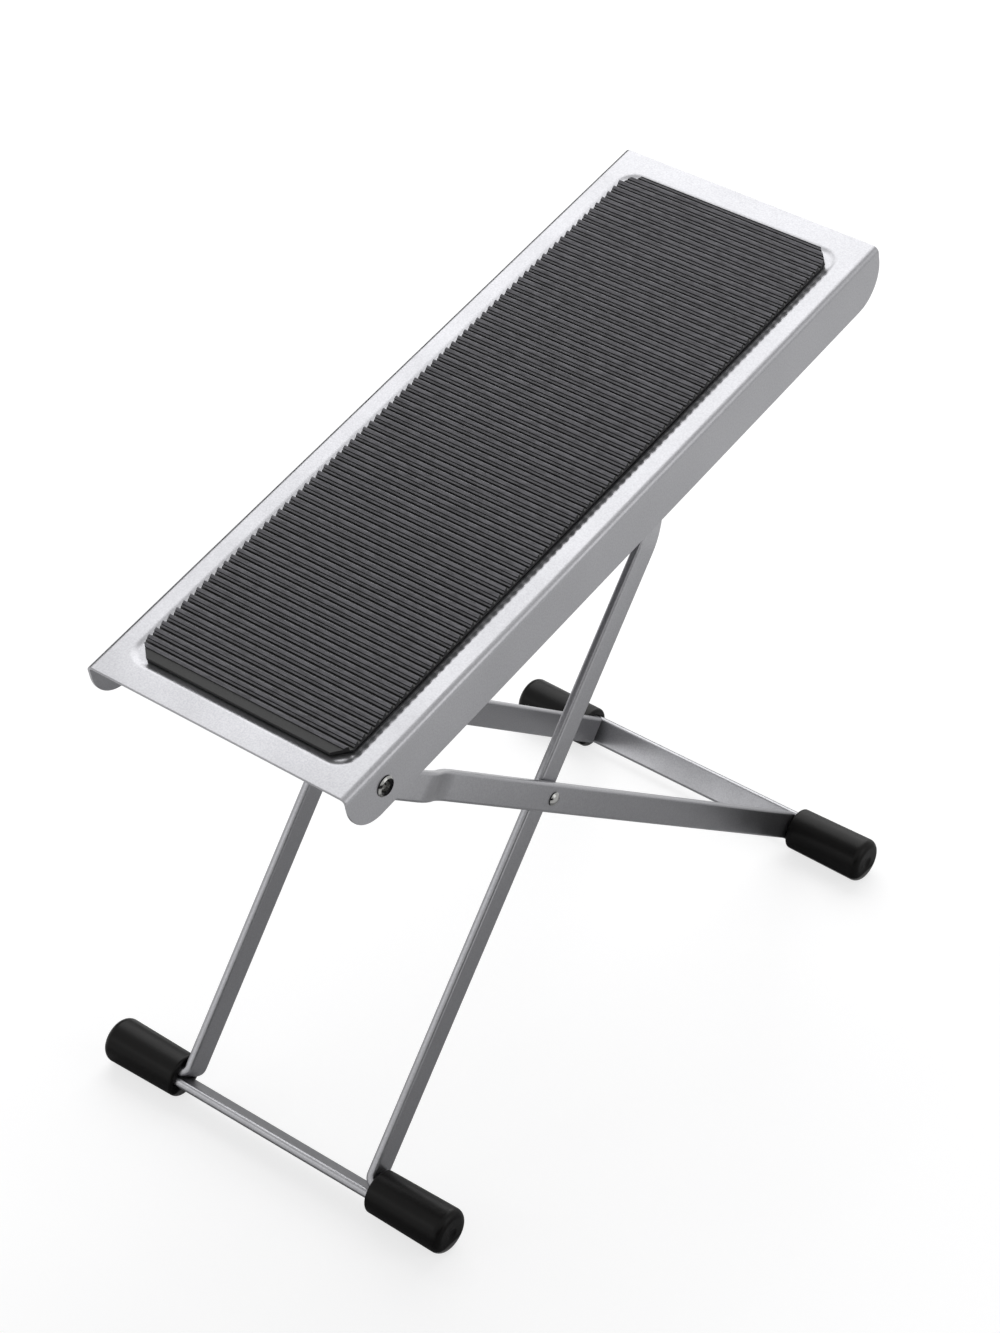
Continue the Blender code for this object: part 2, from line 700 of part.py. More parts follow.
def clear_scene():
    """Remove every object that the scene starts with."""
    for thing in list(bpy.data.objects):
        bpy.data.objects.remove(thing)


def main():
    """Build the footrest, standing on its highest notch."""
    clear_scene()
    across = place_across()
    stance = solve_stance()
    plate_axis = add_axis("plate_axis", stance["plate_pivot"], stance["tilt"])
    arm_axis = add_axis("arm_axis", stance["plate_pivot"], -stance["arm_slope"])
    leg_axis = add_axis("leg_axis", stance["cross"], stance["leg_slope"])

    build_footplate(plate_axis)
    build_mat(plate_axis)
    build_racks(plate_axis)
    flange = across["flange_outer"]
    build_pivot(
        "plate", plate_axis, 0, flange + GAP, across["plate_washer"],
        across["arm_top"] - STRIP_THICKNESS / 2 - GAP, PLATE_RIVET_SHANK, PLATE_RIVET_HEAD, PLATE_RIVET_DOME,
    )

    reach = PLATE_WIDTH
    arm_foot = PLATE_TO_CROSS + LOWER_ARM_LENGTH
    rear = build_frame(
        "rear_frame", arm_axis, across["arm_top"], across["arm"], ARM_JOGGLE_START, arm_foot, 0, 1,
    )
    add_hole(rear, "arm_top_holes", arm_axis, 0, PLATE_RIVET_SHANK, reach)
    add_hole(rear, "arm_cross_holes", arm_axis, PLATE_TO_CROSS, CROSS_RIVET_SHANK, reach)
    build_pivot(
        "cross", arm_axis, PLATE_TO_CROSS, CROSS_OUTER_FACE + GAP, across["cross_washer"],
        across["leg"] - STRIP_THICKNESS / 2 - GAP, CROSS_RIVET_SHANK, CROSS_RIVET_HEAD, CROSS_RIVET_DOME,
    )

    leg_foot = CROSS_TO_ROD + LOWER_LEG_LENGTH
    front = build_frame(
        "front_frame", leg_axis, across["leg_top"], across["leg"], LEG_JOGGLE_START, leg_foot,
        CROSS_TO_ROD, -1,
    )
    add_hole(front, "leg_top_holes", leg_axis, CROSS_TO_ROD, ROD_SPIGOT_RADIUS, reach)
    add_hole(front, "leg_cross_holes", leg_axis, 0, CROSS_RIVET_SHANK, reach)
    build_rod(leg_axis, across)

    span = PLATE_LENGTH
    slab = [(-span, -CUT_OVERRUN), (span, -CUT_OVERRUN), (span, 0), (-span, 0)]
    floor = add_cutter("floor_level", prism_across(slab, -span, span))
    build_caps("rear", arm_axis, arm_foot, CROSS_OUTER_FACE, floor)
    leg_face = across["leg"] + STRIP_THICKNESS / 2
    build_caps("front", leg_axis, -LOWER_LEG_LENGTH, leg_face, floor)


main()
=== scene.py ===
"""Folding guitar footrest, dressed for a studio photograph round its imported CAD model.

Lengths are in metres, +Z is up and +Y runs from the low end of the footplate to the
high end. Each class models one sub-assembly in the axes of the part that carries it,
and its pieces are then put in place and ride on the CAD body of that part.
"""
import json
import logging
from contextlib import contextmanager
from dataclasses import dataclass
from enum import Enum
from math import acos, asin, atan, atan2, cos, degrees, hypot, pi, radians, sin
from typing import Any, Callable, Iterator, Sequence

import bmesh
import bpy
from mathutils import Matrix, Vector


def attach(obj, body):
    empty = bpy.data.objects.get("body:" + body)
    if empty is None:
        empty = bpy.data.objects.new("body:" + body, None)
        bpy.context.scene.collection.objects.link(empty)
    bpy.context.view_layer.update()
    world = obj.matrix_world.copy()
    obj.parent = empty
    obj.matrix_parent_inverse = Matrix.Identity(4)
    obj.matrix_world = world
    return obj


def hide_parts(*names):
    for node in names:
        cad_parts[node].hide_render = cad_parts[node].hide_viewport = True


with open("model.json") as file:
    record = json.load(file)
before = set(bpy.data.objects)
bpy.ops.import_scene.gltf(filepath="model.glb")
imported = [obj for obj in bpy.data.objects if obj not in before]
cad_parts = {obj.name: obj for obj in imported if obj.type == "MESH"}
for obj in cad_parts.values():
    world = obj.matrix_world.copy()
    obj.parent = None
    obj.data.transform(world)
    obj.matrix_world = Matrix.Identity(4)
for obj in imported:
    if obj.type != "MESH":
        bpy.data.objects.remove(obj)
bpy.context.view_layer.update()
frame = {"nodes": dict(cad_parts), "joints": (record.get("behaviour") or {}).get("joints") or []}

MM = 0.001
# Reaches within which vertices are merged, copies are joined and places agree
MERGE = 0.001 * MM
JOIN = 0.01 * MM
NEAR = 0.02 * MM
CLEARANCE = 0.3 * MM
STRAIGHT = 0.99
# The arms run from the plate pivot past the cross pivot to the rear feet, and the legs from the rod
# past the cross pivot to the front feet
FOOT_HEIGHT = 8.2 * MM
UPPER_ARM = 118.0 * MM
LOWER_ARM = 190.2 * MM
UPPER_LEG = 134.1 * MM
LOWER_LEG = 147.5 * MM
# In the plate's axes, which start at its pivot: the notch that the rod stands under, the drop from
# the pivot to the rod, and the top face and front edge of the sheet
HIGH_NOTCH = 180.9 * MM
ROD_DROP = 3.2 * MM
PLATE_TOP = 9.8 * MM
PLATE_FRONT = -17.0 * MM
log = logging.getLogger("footrest")

Piece = bpy.types.Object
Test = Callable[[Vector, Vector], bool]


class Kind(Enum):
    """What an edit-mode selection is made of."""

    VERTS = "VERT"
    EDGES = "EDGE"
    FACES = "FACE"


class Body(Enum):
    """CAD bodies that pieces ride on."""

    PLATE = "footplate"
    REAR = "rear_frame"
    FRONT = "front_frame"


class Side(Enum):
    """Left and right of the footrest, with the sign of X on each."""

    LEFT = -1
    RIGHT = 1

    @property
    def word(self) -> str:
        """Name of the side, as piece names use it."""
        return self.name.lower()


def alone(piece: Piece) -> None:
    """Select one piece and make it the active one.

    Args:
        piece: the piece to work on.
    """
    bpy.ops.object.select_all(action="DESELECT")
    piece.select_set(True)
    bpy.context.view_layer.objects.active = piece


@contextmanager
def editing(piece: Piece) -> Iterator[None]:
    """Work on one piece in edit mode.

    Args:
        piece: the piece to work on.
    """
    alone(piece)
    bpy.ops.object.mode_set(mode="EDIT")
    yield
    bpy.ops.object.mode_set(mode="OBJECT")


def pick(piece: Piece, kind: Kind, test: Test) -> None:
    """Select the parts of a mesh in edit mode by where they are.

    Args:
        piece: the piece that is in edit mode.
        kind: vertices, edges or faces.
        test: takes the middle of a part and its normal, or an edge's direction.
    """
    bpy.ops.mesh.select_mode(type=kind.value)
    bpy.ops.mesh.select_all(action="DESELECT")
    mesh = bmesh.from_edit_mesh(piece.data)
    if kind is Kind.VERTS:
        chosen = [corner for corner in mesh.verts if test(corner.co, corner.normal)]
    elif kind is Kind.EDGES:
        ends = [(edge, edge.verts[0].co, edge.verts[1].co) for edge in mesh.edges]
        chosen = [edge for edge, start, stop in ends if test((start + stop) / 2, (stop - start).normalized())]
    else:
        chosen = [face for face in mesh.faces if test(face.calc_center_median(), face.normal)]
    for cell in chosen:
        cell.select_set(True)
    bmesh.update_edit_mesh(piece.data)


def pick_open_edges(piece: Piece) -> None:
    """Select the edges in edit mode that don't lie between two faces.

    Args:
        piece: the piece that is in edit mode.
    """
    bpy.ops.mesh.select_mode(type="EDGE")
    bpy.ops.mesh.select_all(action="DESELECT")
    mesh = bmesh.from_edit_mesh(piece.data)
    for edge in mesh.edges:
        if len(edge.link_faces) < 2:
            edge.select_set(True)
    bmesh.update_edit_mesh(piece.data)


def near(value: float, target: float) -> bool:
    """Whether two lengths agree to within a fiftieth of a millimetre."""
    return abs(value - target) < NEAR


def start_plane(
    name: str, width: float, depth: float, place: Sequence[float] = (0, 0, 0),
    corner: float = 0, steps: int = 1,
) -> Piece:
    """Add a plane of the given width along X and depth along Y.

    Args:
        name: name of the new piece.
        width: size along X.
        depth: size along Y.
        place: centre of the plane.
        corner: how far its corners are rounded.
        steps: number of flats round each corner.

    Returns:
        The plane, with its size and place in its mesh.
    """
    bpy.ops.object.select_all(action="DESELECT")
    bpy.ops.mesh.primitive_plane_add(size=1, location=place)
    piece = bpy.context.active_object
    piece.name = name
    piece.data.name = name
    piece.scale = (width, depth, 1)
    bpy.ops.object.transform_apply(location=True, rotation=True, scale=True)
    if corner:
        with editing(piece):
            bpy.ops.mesh.select_all(action="SELECT")
            bpy.ops.mesh.bevel(offset=corner, segments=steps, affect="VERTICES")
    return piece


def draw_line(name: str, points: Sequence[Sequence[float]]) -> Piece:
    """Draw a line by extruding one vertex from point to point.

    Args:
        name: name of the new piece.
        points: places that the line passes through, in order.

    Returns:
        A piece of edges alone.
    """
    piece = start_plane(name, 1, 1)
    with editing(piece):
        bpy.ops.mesh.select_all(action="SELECT")
        bpy.ops.mesh.merge(type="CENTER")
        bpy.ops.transform.translate(value=points[0])
        draw_on(points)
    return piece


def draw_on(points: Sequence[Sequence[float]]) -> None:
    """Extrude the selected vertex from point to point.

    Args:
        points: where the vertex is, and then each place to draw the line to.
    """
    stops = [Vector(point) for point in points]
    for before, after in zip(stops, stops[1:]):
        bpy.ops.mesh.extrude_vertices_move(TRANSFORM_OT_translate={"value": after - before})


def extrude(run: Sequence[float]) -> None:
    """Extrude what is selected straight on."""
    bpy.ops.mesh.extrude_region_move(TRANSFORM_OT_translate={"value": run})


def merge_all() -> None:
    """Merge doubled vertices of the mesh in edit mode, and leave it all selected."""
    bpy.ops.mesh.select_all(action="SELECT")
    bpy.ops.mesh.remove_doubles(threshold=MERGE)
    bpy.ops.mesh.select_all(action="SELECT")


def slice_off(place: Sequence[float], normal: Sequence[float], fill: bool) -> None:
    """Cut off what lies beyond a plane from the mesh in edit mode.

    Args:
        place: a point on the plane.
        normal: the way that it faces, towards what is cut off.
        fill: closes the cut with a face.
    """
    bpy.ops.mesh.select_all(action="SELECT")
    bpy.ops.mesh.bisect(plane_co=place, plane_no=normal, use_fill=fill, clear_outer=True)


def weld() -> None:
    """Merge doubled vertices of the mesh in edit mode and point its faces outwards."""
    bpy.ops.mesh.select_mode(type="VERT")
    bpy.ops.mesh.select_all(action="SELECT")
    bpy.ops.mesh.remove_doubles(threshold=MERGE)
    bpy.ops.mesh.dissolve_degenerate(threshold=MERGE)
    bpy.ops.mesh.normals_make_consistent(inside=False)


def spin_on(angle: float, centre: Sequence[float], axis: Sequence[float], steps: int) -> None:
    """Spin what is selected round an axis, the right-handed way.

    Args:
        angle: how far to turn.
        centre: a point on the axis.
        axis: its direction.
        steps: number of flats along the bend.
    """
    # The operator itself counts angles the left-handed way
    bpy.ops.mesh.spin(steps=steps, angle=-angle, center=centre, axis=axis)


def turn_on_lathe(
    name: str, profile: Sequence[tuple[float, float]], steps: int = 48, closed: bool = False
) -> Piece:
    """Spin a profile round the X axis.

    Args:
        name: name of the new piece.
        profile: (place along X, radius) points.
        steps: number of flats round the piece.
        closed: joins the last point to the first, as for a ring.

    Returns:
        A closed round piece.
    """
    ends = [profile[0]] if closed else []
    piece = draw_line(name, [(x, 0, radius) for x, radius in [*profile, *ends]])
    with editing(piece):
        merge_all()
        bpy.ops.mesh.spin(steps=steps, angle=2 * pi, center=(0, 0, 0), axis=(1, 0, 0))
        weld()
    return piece


def push_outline(name: str, outline: Sequence[Sequence[float]], push: Sequence[float]) -> Piece:
    """Fill a closed outline and extrude it straight into a solid.

    Args:
        name: name of the new piece.
        outline: corners in order, without the first one again.
        push: the way and distance of the extrusion.

    Returns:
        A closed solid.
    """
    piece = draw_line(name, [*outline, outline[0]])
    with editing(piece):
        merge_all()
        bpy.ops.mesh.edge_face_add()
        extrude(push)
        weld()
    return piece


def arc(
    centre: tuple[float, float], radius: float, start: float, stop: float, steps: int
) -> list[tuple[float, float]]:
    """Points along an arc, both ends included.

    Args:
        centre: centre of the arc.
        radius: its radius.
        start: angle of the first point.
        stop: angle of the last point.
        steps: number of pieces that the arc is cut into.

    Returns:
        The points in order.
    """
    turns = [start + (stop - start) * step / steps for step in range(steps + 1)]
    return [(centre[0] + radius * cos(turn), centre[1] + radius * sin(turn)) for turn in turns]


def dome(face: float, radius: float, height: float) -> tuple[tuple[float, float], float, float]:
    """Sphere that a low domed head is the top of.

    Args:
        face: place of the head's underside along X.
        radius: radius of the head.
        height: height of the head.

    Returns:
        Centre of the sphere, its radius and the angle of its rim.
    """
    sphere = (radius ** 2 + height ** 2) / (2 * height)
    centre = face + height - sphere
    return (centre, 0), sphere, acos((face - centre) / sphere)


def washer_ring(
    low: float, high: float, hole: float, radius: float, soft: float = 0.12 * MM
) -> list[tuple[float, float]]:
    """Profile of a flat washer with soft stamped edges.

    Args:
        low: place of its inner face along X.
        high: place of its outer face.
        hole: radius of its hole.
        radius: its outside radius.
        soft: how far its edges are broken.

    Returns:
        (along X, radius) points.
    """
    return [
        (low, hole), (low, radius - soft), (low + soft, radius),
        (high - soft, radius), (high, radius - soft), (high, hole),
    ]


def use_modifier(piece: Piece, kind: str, **settings: Any) -> None:
    """Add a modifier with its settings and apply it.

    Args:
        piece: the piece to change.
        kind: the modifier's type name.
        settings: its properties.
    """
    alone(piece)
    modifier = piece.modifiers.new(kind.title(), kind)
    for name, value in settings.items():
        setattr(modifier, name, value)
    bpy.ops.object.modifier_apply(modifier=modifier.name)


def combine(piece: Piece, tool: Piece, operation: str = "DIFFERENCE") -> None:
    """Cut a piece with a tool, or keep what both share, and clear the tool away."""
    use_modifier(piece, "BOOLEAN", object=tool, operation=operation, solver="EXACT")
    bpy.data.objects.remove(tool)


def bore(piece: Piece, place: Sequence[float], radius: float, reach: float) -> None:
    """Bore a round hole along X through a piece.

    Args:
        piece: the piece to bore.
        place: a point on the axis of the hole.
        radius: radius of the hole.
        reach: half the length of the drill.
    """
    drill = turn_on_lathe("drill", [(-reach, 0), (-reach, radius), (reach, radius), (reach, 0)])
    drill.data.transform(Matrix.Translation(place))
    combine(piece, drill)


def soften(piece: Piece, width: float, segments: int = 2, angle: float = 40) -> None:
    """Break the sharp edges of a piece with a small round.

    Args:
        piece: the piece to change.
        width: width of the round.
        segments: number of flats across it.
        angle: the largest angle between faces that stays as it is, in degrees.
    """
    use_modifier(
        piece, "BEVEL", width=width, segments=segments, limit_method="ANGLE",
        angle_limit=radians(angle), use_clamp_overlap=True, miter_outer="MITER_ARC",
    )


def shade(piece: Piece, angle: float) -> None:
    """Shade a piece smooth, and its large flats flat.

    Args:
        piece: the piece to shade.
        angle: the largest angle between faces that is smooth, in degrees.
    """
    alone(piece)
    bpy.ops.object.shade_smooth_by_angle(angle=radians(angle))
    use_modifier(piece, "WEIGHTED_NORMAL", weight=100, keep_sharp=True)


def set_place(piece: Piece, place: Matrix) -> None:
    """Put a piece's place into its mesh and leave its object at the origin.

    Args:
        piece: the piece to place.
        place: where its axes go.
    """
    alone(piece)
    piece.matrix_world = place
    bpy.ops.object.transform_apply(location=True, rotation=True, scale=True)


def mirror_copy(piece: Piece, name: str) -> Piece:
    """Copy a finished piece to the other side of the footrest.

    Args:
        piece: the piece on the right.
        name: name of the copy on the left.

    Returns:
        The copy, with a mesh of its own and its faces outwards.
    """
    alone(piece)
    bpy.ops.object.duplicate()
    twin = bpy.context.active_object
    twin.name = name
    twin.data.name = name
    set_place(twin, Matrix.Scale(-1, 4, (1, 0, 0)))
    with editing(twin):
        weld()
    return twin


def linear(colour: str) -> tuple[float, float, float, float]:
    """Turn an sRGB hex colour into the linear values that a shader takes.

    Args:
        colour: six hex digits after a hash sign.

    Returns:
        Red, green, blue and an alpha of one.
    """
    parts = [int(colour[at:at + 2], 16) / 255 for at in (1, 3, 5)]
    red, green, blue = [
        part / 12.92 if part <= 0.04045 else ((part + 0.055) / 1.055) ** 2.4 for part in parts
    ]
    return red, green, blue, 1.0


class NodeBoard:
    """The node tree of one material or world, filled in one node at a time."""

    def __init__(self, tree: bpy.types.NodeTree) -> None:
        """Clear the tree and keep it."""
        self.tree = tree
        tree.nodes.clear()

    def add(self, kind: str, links: dict[str | int, Any] | None = None, **settings: Any) -> bpy.types.Node:
        """Add a node with its settings and links.

        Args:
            kind: the node's type name, without "ShaderNode".
            links: value, or output socket, for each input by name or number.
            settings: properties of the node.

        Returns:
            The new node.
        """
        node = self.tree.nodes.new("ShaderNode" + kind)
        for name, value in settings.items():
            setattr(node, name, value)
        for name, value in (links or {}).items():
            if isinstance(value, bpy.types.NodeSocket):
                self.tree.links.new(value, node.inputs[name])
            else:
                node.inputs[name].default_value = value
        return node


def start_material(name: str) -> tuple[bpy.types.Material, NodeBoard]:
    """Start a material with an empty node tree.

    Args:
        name: the real material and how its surface was made.

    Returns:
        The material and the board of its nodes.
    """
    material = bpy.data.materials.new(name)
    material.use_nodes = True
    return material, NodeBoard(material.node_tree)


def per_mm(size: float) -> float:
    """Scale of a noise pattern on object coordinates whose blobs are this many mm wide."""
    return 1 / (size * MM)


@dataclass(frozen=True)
class PowderCoatedSteel:
    """Silver powder coat baked on mild steel: a soft metallic sheen over a fine orange peel."""

    pale: str = "#a5a5a8"
    dark: str = "#8c8c8f"
    metallic: float = 0.90
    roughness: tuple[float, float] = (0.28, 0.36)
    flake_mm: float = 0.6
    peel_mm: float = 1.1
    cloud_mm: float = 26.0

    def build(self) -> bpy.types.Material:
        """Make the material.

        Returns:
            A Principled material on object coordinates.
        """
        material, board = start_material("powder_coated_steel_silver")
        place = board.add("TexCoord").outputs["Object"]
        # Aluminium flakes are about 0.03 mm, drawn at 0.6 mm so that they still show
        flakes = board.add("TexNoise", {"Vector": place, "Scale": per_mm(self.flake_mm), "Detail": 2.0})
        clouds = board.add("TexNoise", {"Vector": place, "Scale": per_mm(self.cloud_mm), "Detail": 3.0})
        bright = board.add("MapRange", {"Value": flakes.outputs["Fac"], "From Min": 0.32, "From Max": 0.68})
        shares = board.add("Math", {0: bright.outputs[0], 1: 0.5, 2: 0.25}, operation="MULTIPLY_ADD")
        colour = board.add("Mix", {
            "Factor": shares.outputs[0], 6: linear(self.pale), 7: linear(self.dark),
        }, data_type="RGBA")
        low, high = self.roughness
        rough = board.add("MapRange", {
            "Value": clouds.outputs["Fac"], "From Min": 0.3, "From Max": 0.7, "To Min": low, "To Max": high,
        })
        # Orange peel of the baked powder, about a millimetre from crest to crest
        peel = board.add("TexNoise", {"Vector": place, "Scale": per_mm(self.peel_mm), "Detail": 1.0})
        waves = board.add("Bump", {"Height": peel.outputs["Fac"], "Strength": 0.10, "Distance": 0.02 * MM})
        grain = board.add("Bump", {
            "Height": flakes.outputs["Fac"], "Normal": waves.outputs[0],
            "Strength": 0.25, "Distance": 0.02 * MM,
        })
        shader = board.add("BsdfPrincipled", {
            "Base Color": colour.outputs[2], "Roughness": rough.outputs[0], "Normal": grain.outputs[0],
            "Metallic": self.metallic, "Coat Weight": 0.12, "Coat Roughness": 0.28,
        })
        board.add("OutputMaterial", {"Surface": shader.outputs[0]})
        return material


@dataclass(frozen=True)
class MouldedRubber:
    """Black rubber pressed in a mould: dull, with faint blotches where bloom or talc clings."""

    name: str
    pale: str
    dark: str
    roughness: tuple[float, float]
    blotch_mm: float
    grain_mm: float
    grain_depth_mm: float
    specular: float
    stretch: tuple[float, float, float] = (1.0, 1.0, 1.0)
    # Colour of the painted shade on the walls, grooves and front band of a mat; empty for none
    hollow: str = ""

    def build(self) -> bpy.types.Material:
        """Make the material.

        Returns:
            A Principled material on object coordinates.
        """
        material, board = start_material(self.name)
        place = board.add("TexCoord").outputs["Object"]
        drawn = board.add("Mapping", {"Vector": place, "Scale": self.stretch})
        blotches = board.add("TexNoise", {
            "Vector": drawn.outputs[0], "Scale": per_mm(self.blotch_mm), "Detail": 4.0, "Roughness": 0.6,
        })
        shares = board.add("MapRange", {"Value": blotches.outputs["Fac"], "From Min": 0.35, "From Max": 0.68})
        colour = board.add("Mix", {
            "Factor": shares.outputs[0], 6: linear(self.dark), 7: linear(self.pale),
        }, data_type="RGBA")
        if self.hollow:
            # Painted light and shade: the crowns keep the paler blotched colour as painted sheen, and walls,
            # grooves and the front band take the hollow colour as painted shade
            rubbed = board.add("Attribute", attribute_name="rubbed").outputs["Fac"]
            colour = board.add("Mix", {
                "Factor": rubbed, 6: linear(self.hollow), 7: colour.outputs[2],
            }, data_type="RGBA")
        low, high = self.roughness
        rough = board.add("MapRange", {"Value": blotches.outputs["Fac"], "To Min": high, "To Max": low})
        grain = board.add("TexNoise", {"Vector": place, "Scale": per_mm(self.grain_mm), "Detail": 3.0})
        bumps = board.add(
            "Bump", {"Height": grain.outputs["Fac"], "Strength": 0.5, "Distance": self.grain_depth_mm * MM}
        )
        shader = board.add("BsdfPrincipled", {
            "Base Color": colour.outputs[2], "Roughness": rough.outputs[0], "Normal": bumps.outputs[0],
            "Specular IOR Level": self.specular, "IOR": 1.52,
        })
        board.add("OutputMaterial", {"Surface": shader.outputs[0]})
        return material


@dataclass(frozen=True)
class PlatedSteel:
    """Steel plated over a drawn or turned surface: a bright metal with a fine lay."""

    name: str
    pale: str
    dark: str
    roughness: tuple[float, float]
    lay_mm: float
    stretch: tuple[float, float, float] = (1.0, 1.0, 1.0)
    stain_mm: float = 9.0

    def build(self) -> bpy.types.Material:
        """Make the material.

        Returns:
            A Principled material on object coordinates.
        """
        material, board = start_material(self.name)
        place = board.add("TexCoord").outputs["Object"]
        drawn = board.add("Mapping", {"Vector": place, "Scale": self.stretch})
        lay = board.add("TexNoise", {"Vector": drawn.outputs[0], "Scale": per_mm(self.lay_mm), "Detail": 3.0})
        stains = board.add("TexNoise", {"Vector": place, "Scale": per_mm(self.stain_mm), "Detail": 2.0})
        colour = board.add("Mix", {
            "Factor": stains.outputs["Fac"], 6: linear(self.dark), 7: linear(self.pale),
        }, data_type="RGBA")
        low, high = self.roughness
        rough = board.add("MapRange", {"Value": lay.outputs["Fac"], "To Min": low, "To Max": high})
        scratches = board.add("Bump", {"Height": lay.outputs["Fac"], "Strength": 0.15, "Distance": 0.01 * MM})
        shader = board.add("BsdfPrincipled", {
            "Base Color": colour.outputs[2], "Roughness": rough.outputs[0], "Normal": scratches.outputs[0],
            "Metallic": 1.0,
        })
        board.add("OutputMaterial", {"Surface": shader.outputs[0]})
        return material


@dataclass(frozen=True)
class DriedGlueFilm:
    """Clear contact glue dried to a thin film: honey tint, slightly wavy gloss."""

    thick: str = "#c9bd9a"
    thin: str = "#ddd6c2"
    wave_mm: float = 6.0

    def build(self) -> bpy.types.Material:
        """Make the material.

        Returns:
            A Principled material on object coordinates.
        """
        material, board = start_material("dried_contact_glue")
        place = board.add("TexCoord").outputs["Object"]
        waves = board.add("TexNoise", {"Vector": place, "Scale": per_mm(self.wave_mm), "Detail": 2.0})
        colour = board.add("Mix", {
            "Factor": waves.outputs["Fac"], 6: linear(self.thin), 7: linear(self.thick),
        }, data_type="RGBA")
        ripple = board.add("Bump", {"Height": waves.outputs["Fac"], "Strength": 0.3, "Distance": 0.05 * MM})
        shader = board.add("BsdfPrincipled", {
            "Base Color": colour.outputs[2], "Normal": ripple.outputs[0], "Roughness": 0.3, "IOR": 1.48,
        })
        board.add("OutputMaterial", {"Surface": shader.outputs[0]})
        return material


@dataclass(frozen=True)
class Finishes:
    """Every finish of the footrest, made once and shared."""

    silver: bpy.types.Material
    mat: bpy.types.Material
    cap: bpy.types.Material
    rivet: bpy.types.Material
    bright: bpy.types.Material
    zinc: bpy.types.Material
    glue: bpy.types.Material

    @classmethod
    def build(cls) -> "Finishes":
        """Make all the materials.

        Returns:
            The set of finishes.
        """
        return cls(
            silver=PowderCoatedSteel().build(),
            # The mat's pale and dark are random blotches; its hollow colour is painted shade on walls,
            # grooves and front band
            mat=MouldedRubber(
                "compression_moulded_rubber_mat", pale="#8c8b90", dark="#605f63", hollow="#101010",
                roughness=(0.38, 0.50), specular=0.42, blotch_mm=1.5, grain_mm=0.45, grain_depth_mm=0.03,
                stretch=(0.35, 1.6, 1.6),
            ).build(),
            cap=MouldedRubber(
                "injection_moulded_rubber_cap", pale="#11100f", dark="#0b0a0a",
                roughness=(0.30, 0.40), specular=0.13, blotch_mm=5.0, grain_mm=0.45, grain_depth_mm=0.015,
            ).build(),
            # Dark metal painted inside the punched hollow of the plate rivets as its shade
            rivet=PlatedSteel(
                "black_oxide_steel_rivet", pale="#1d1d1f", dark="#0c0c0d", roughness=(0.14, 0.22), lay_mm=0.8
            ).build(),
            bright=PlatedSteel(
                "nickel_plated_drawn_steel", pale="#a3a3a1", dark="#8d8d8b", roughness=(0.12, 0.24),
                lay_mm=0.6, stretch=(0.15, 1.0, 1.0),
            ).build(),
            zinc=PlatedSteel(
                "bright_zinc_plated_steel", pale="#b3b6ba", dark="#989ba1", roughness=(0.28, 0.42), lay_mm=1.5
            ).build(),
            glue=DriedGlueFilm().build(),
        )


@dataclass(frozen=True)
class Stance:
    """Axes of the three bodies of the footrest as it stands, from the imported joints."""

    plate: Matrix
    arm: Matrix
    leg: Matrix

    @classmethod
    def from_joints(cls, joints: list[dict[str, Any]]) -> "Stance":
        """Work the axes out from the places of the two pivots.

        Args:
            joints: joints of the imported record.

        Returns:
            Placement of the footplate, the arms and the legs.
        """
        places = {joint["name"]: Vector(joint["pos_m"]) for joint in joints}
        plate_pivot, cross_pivot = places["fold"], places["cross"]
        arm = plate_pivot - cross_pivot
        arm_slope = atan2(arm.z, -arm.y)
        leg_slope = asin((cross_pivot.z - FOOT_HEIGHT) / LOWER_LEG)
        rod = cross_pivot + UPPER_LEG * Vector((0, cos(leg_slope), sin(leg_slope)))
        reach = rod - plate_pivot
        tilt = atan2(reach.z, reach.y) + atan(ROD_DROP / HIGH_NOTCH)
        slopes = tuple(degrees(slope) for slope in (arm_slope, leg_slope, tilt))
        log.info("arm slope %.2f, leg slope %.2f, plate tilt %.2f degrees", *slopes)
        return cls(
            plate=Matrix.Translation(plate_pivot) @ Matrix.Rotation(tilt, 4, "X"),
            arm=Matrix.Translation(plate_pivot) @ Matrix.Rotation(-arm_slope, 4, "X"),
            leg=Matrix.Translation(cross_pivot) @ Matrix.Rotation(leg_slope, 4, "X"),
        )


def install(piece: Piece, body: Body, node: str, finish: bpy.types.Material) -> None:
    """Dress a finished piece and put it in for its CAD node.

    Args:
        piece: the finished piece.
        body: the CAD body that it rides on.
        node: the CAD node that it stands for.
        finish: its material.
    """
    piece.data.materials.clear()
    piece.data.materials.append(finish)
    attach(piece, body.value)
    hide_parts(node)
    log.info("%s: %d faces", piece.name, len(piece.data.polygons))


def install_pair(
    right: Piece, body: Body, node: str, finish: bpy.types.Material, angle: float = 30
) -> list[Piece]:
    """Copy a finished piece to the left, then shade and dress both.

    Args:
        right: the piece on the right, in place.
        body: the CAD body that both ride on.
        node: name of their CAD nodes, without the side.
        finish: their material.
        angle: the largest angle between faces that is smooth, in degrees.

    Returns:
        The right piece and the left one.
    """
    pair = [right, mirror_copy(right, right.name.replace("right", "left"))]
    for piece, side in zip(pair, (Side.RIGHT, Side.LEFT)):
        shade(piece, angle)
        install(piece, body, node + "_" + side.word, finish)
    return pair


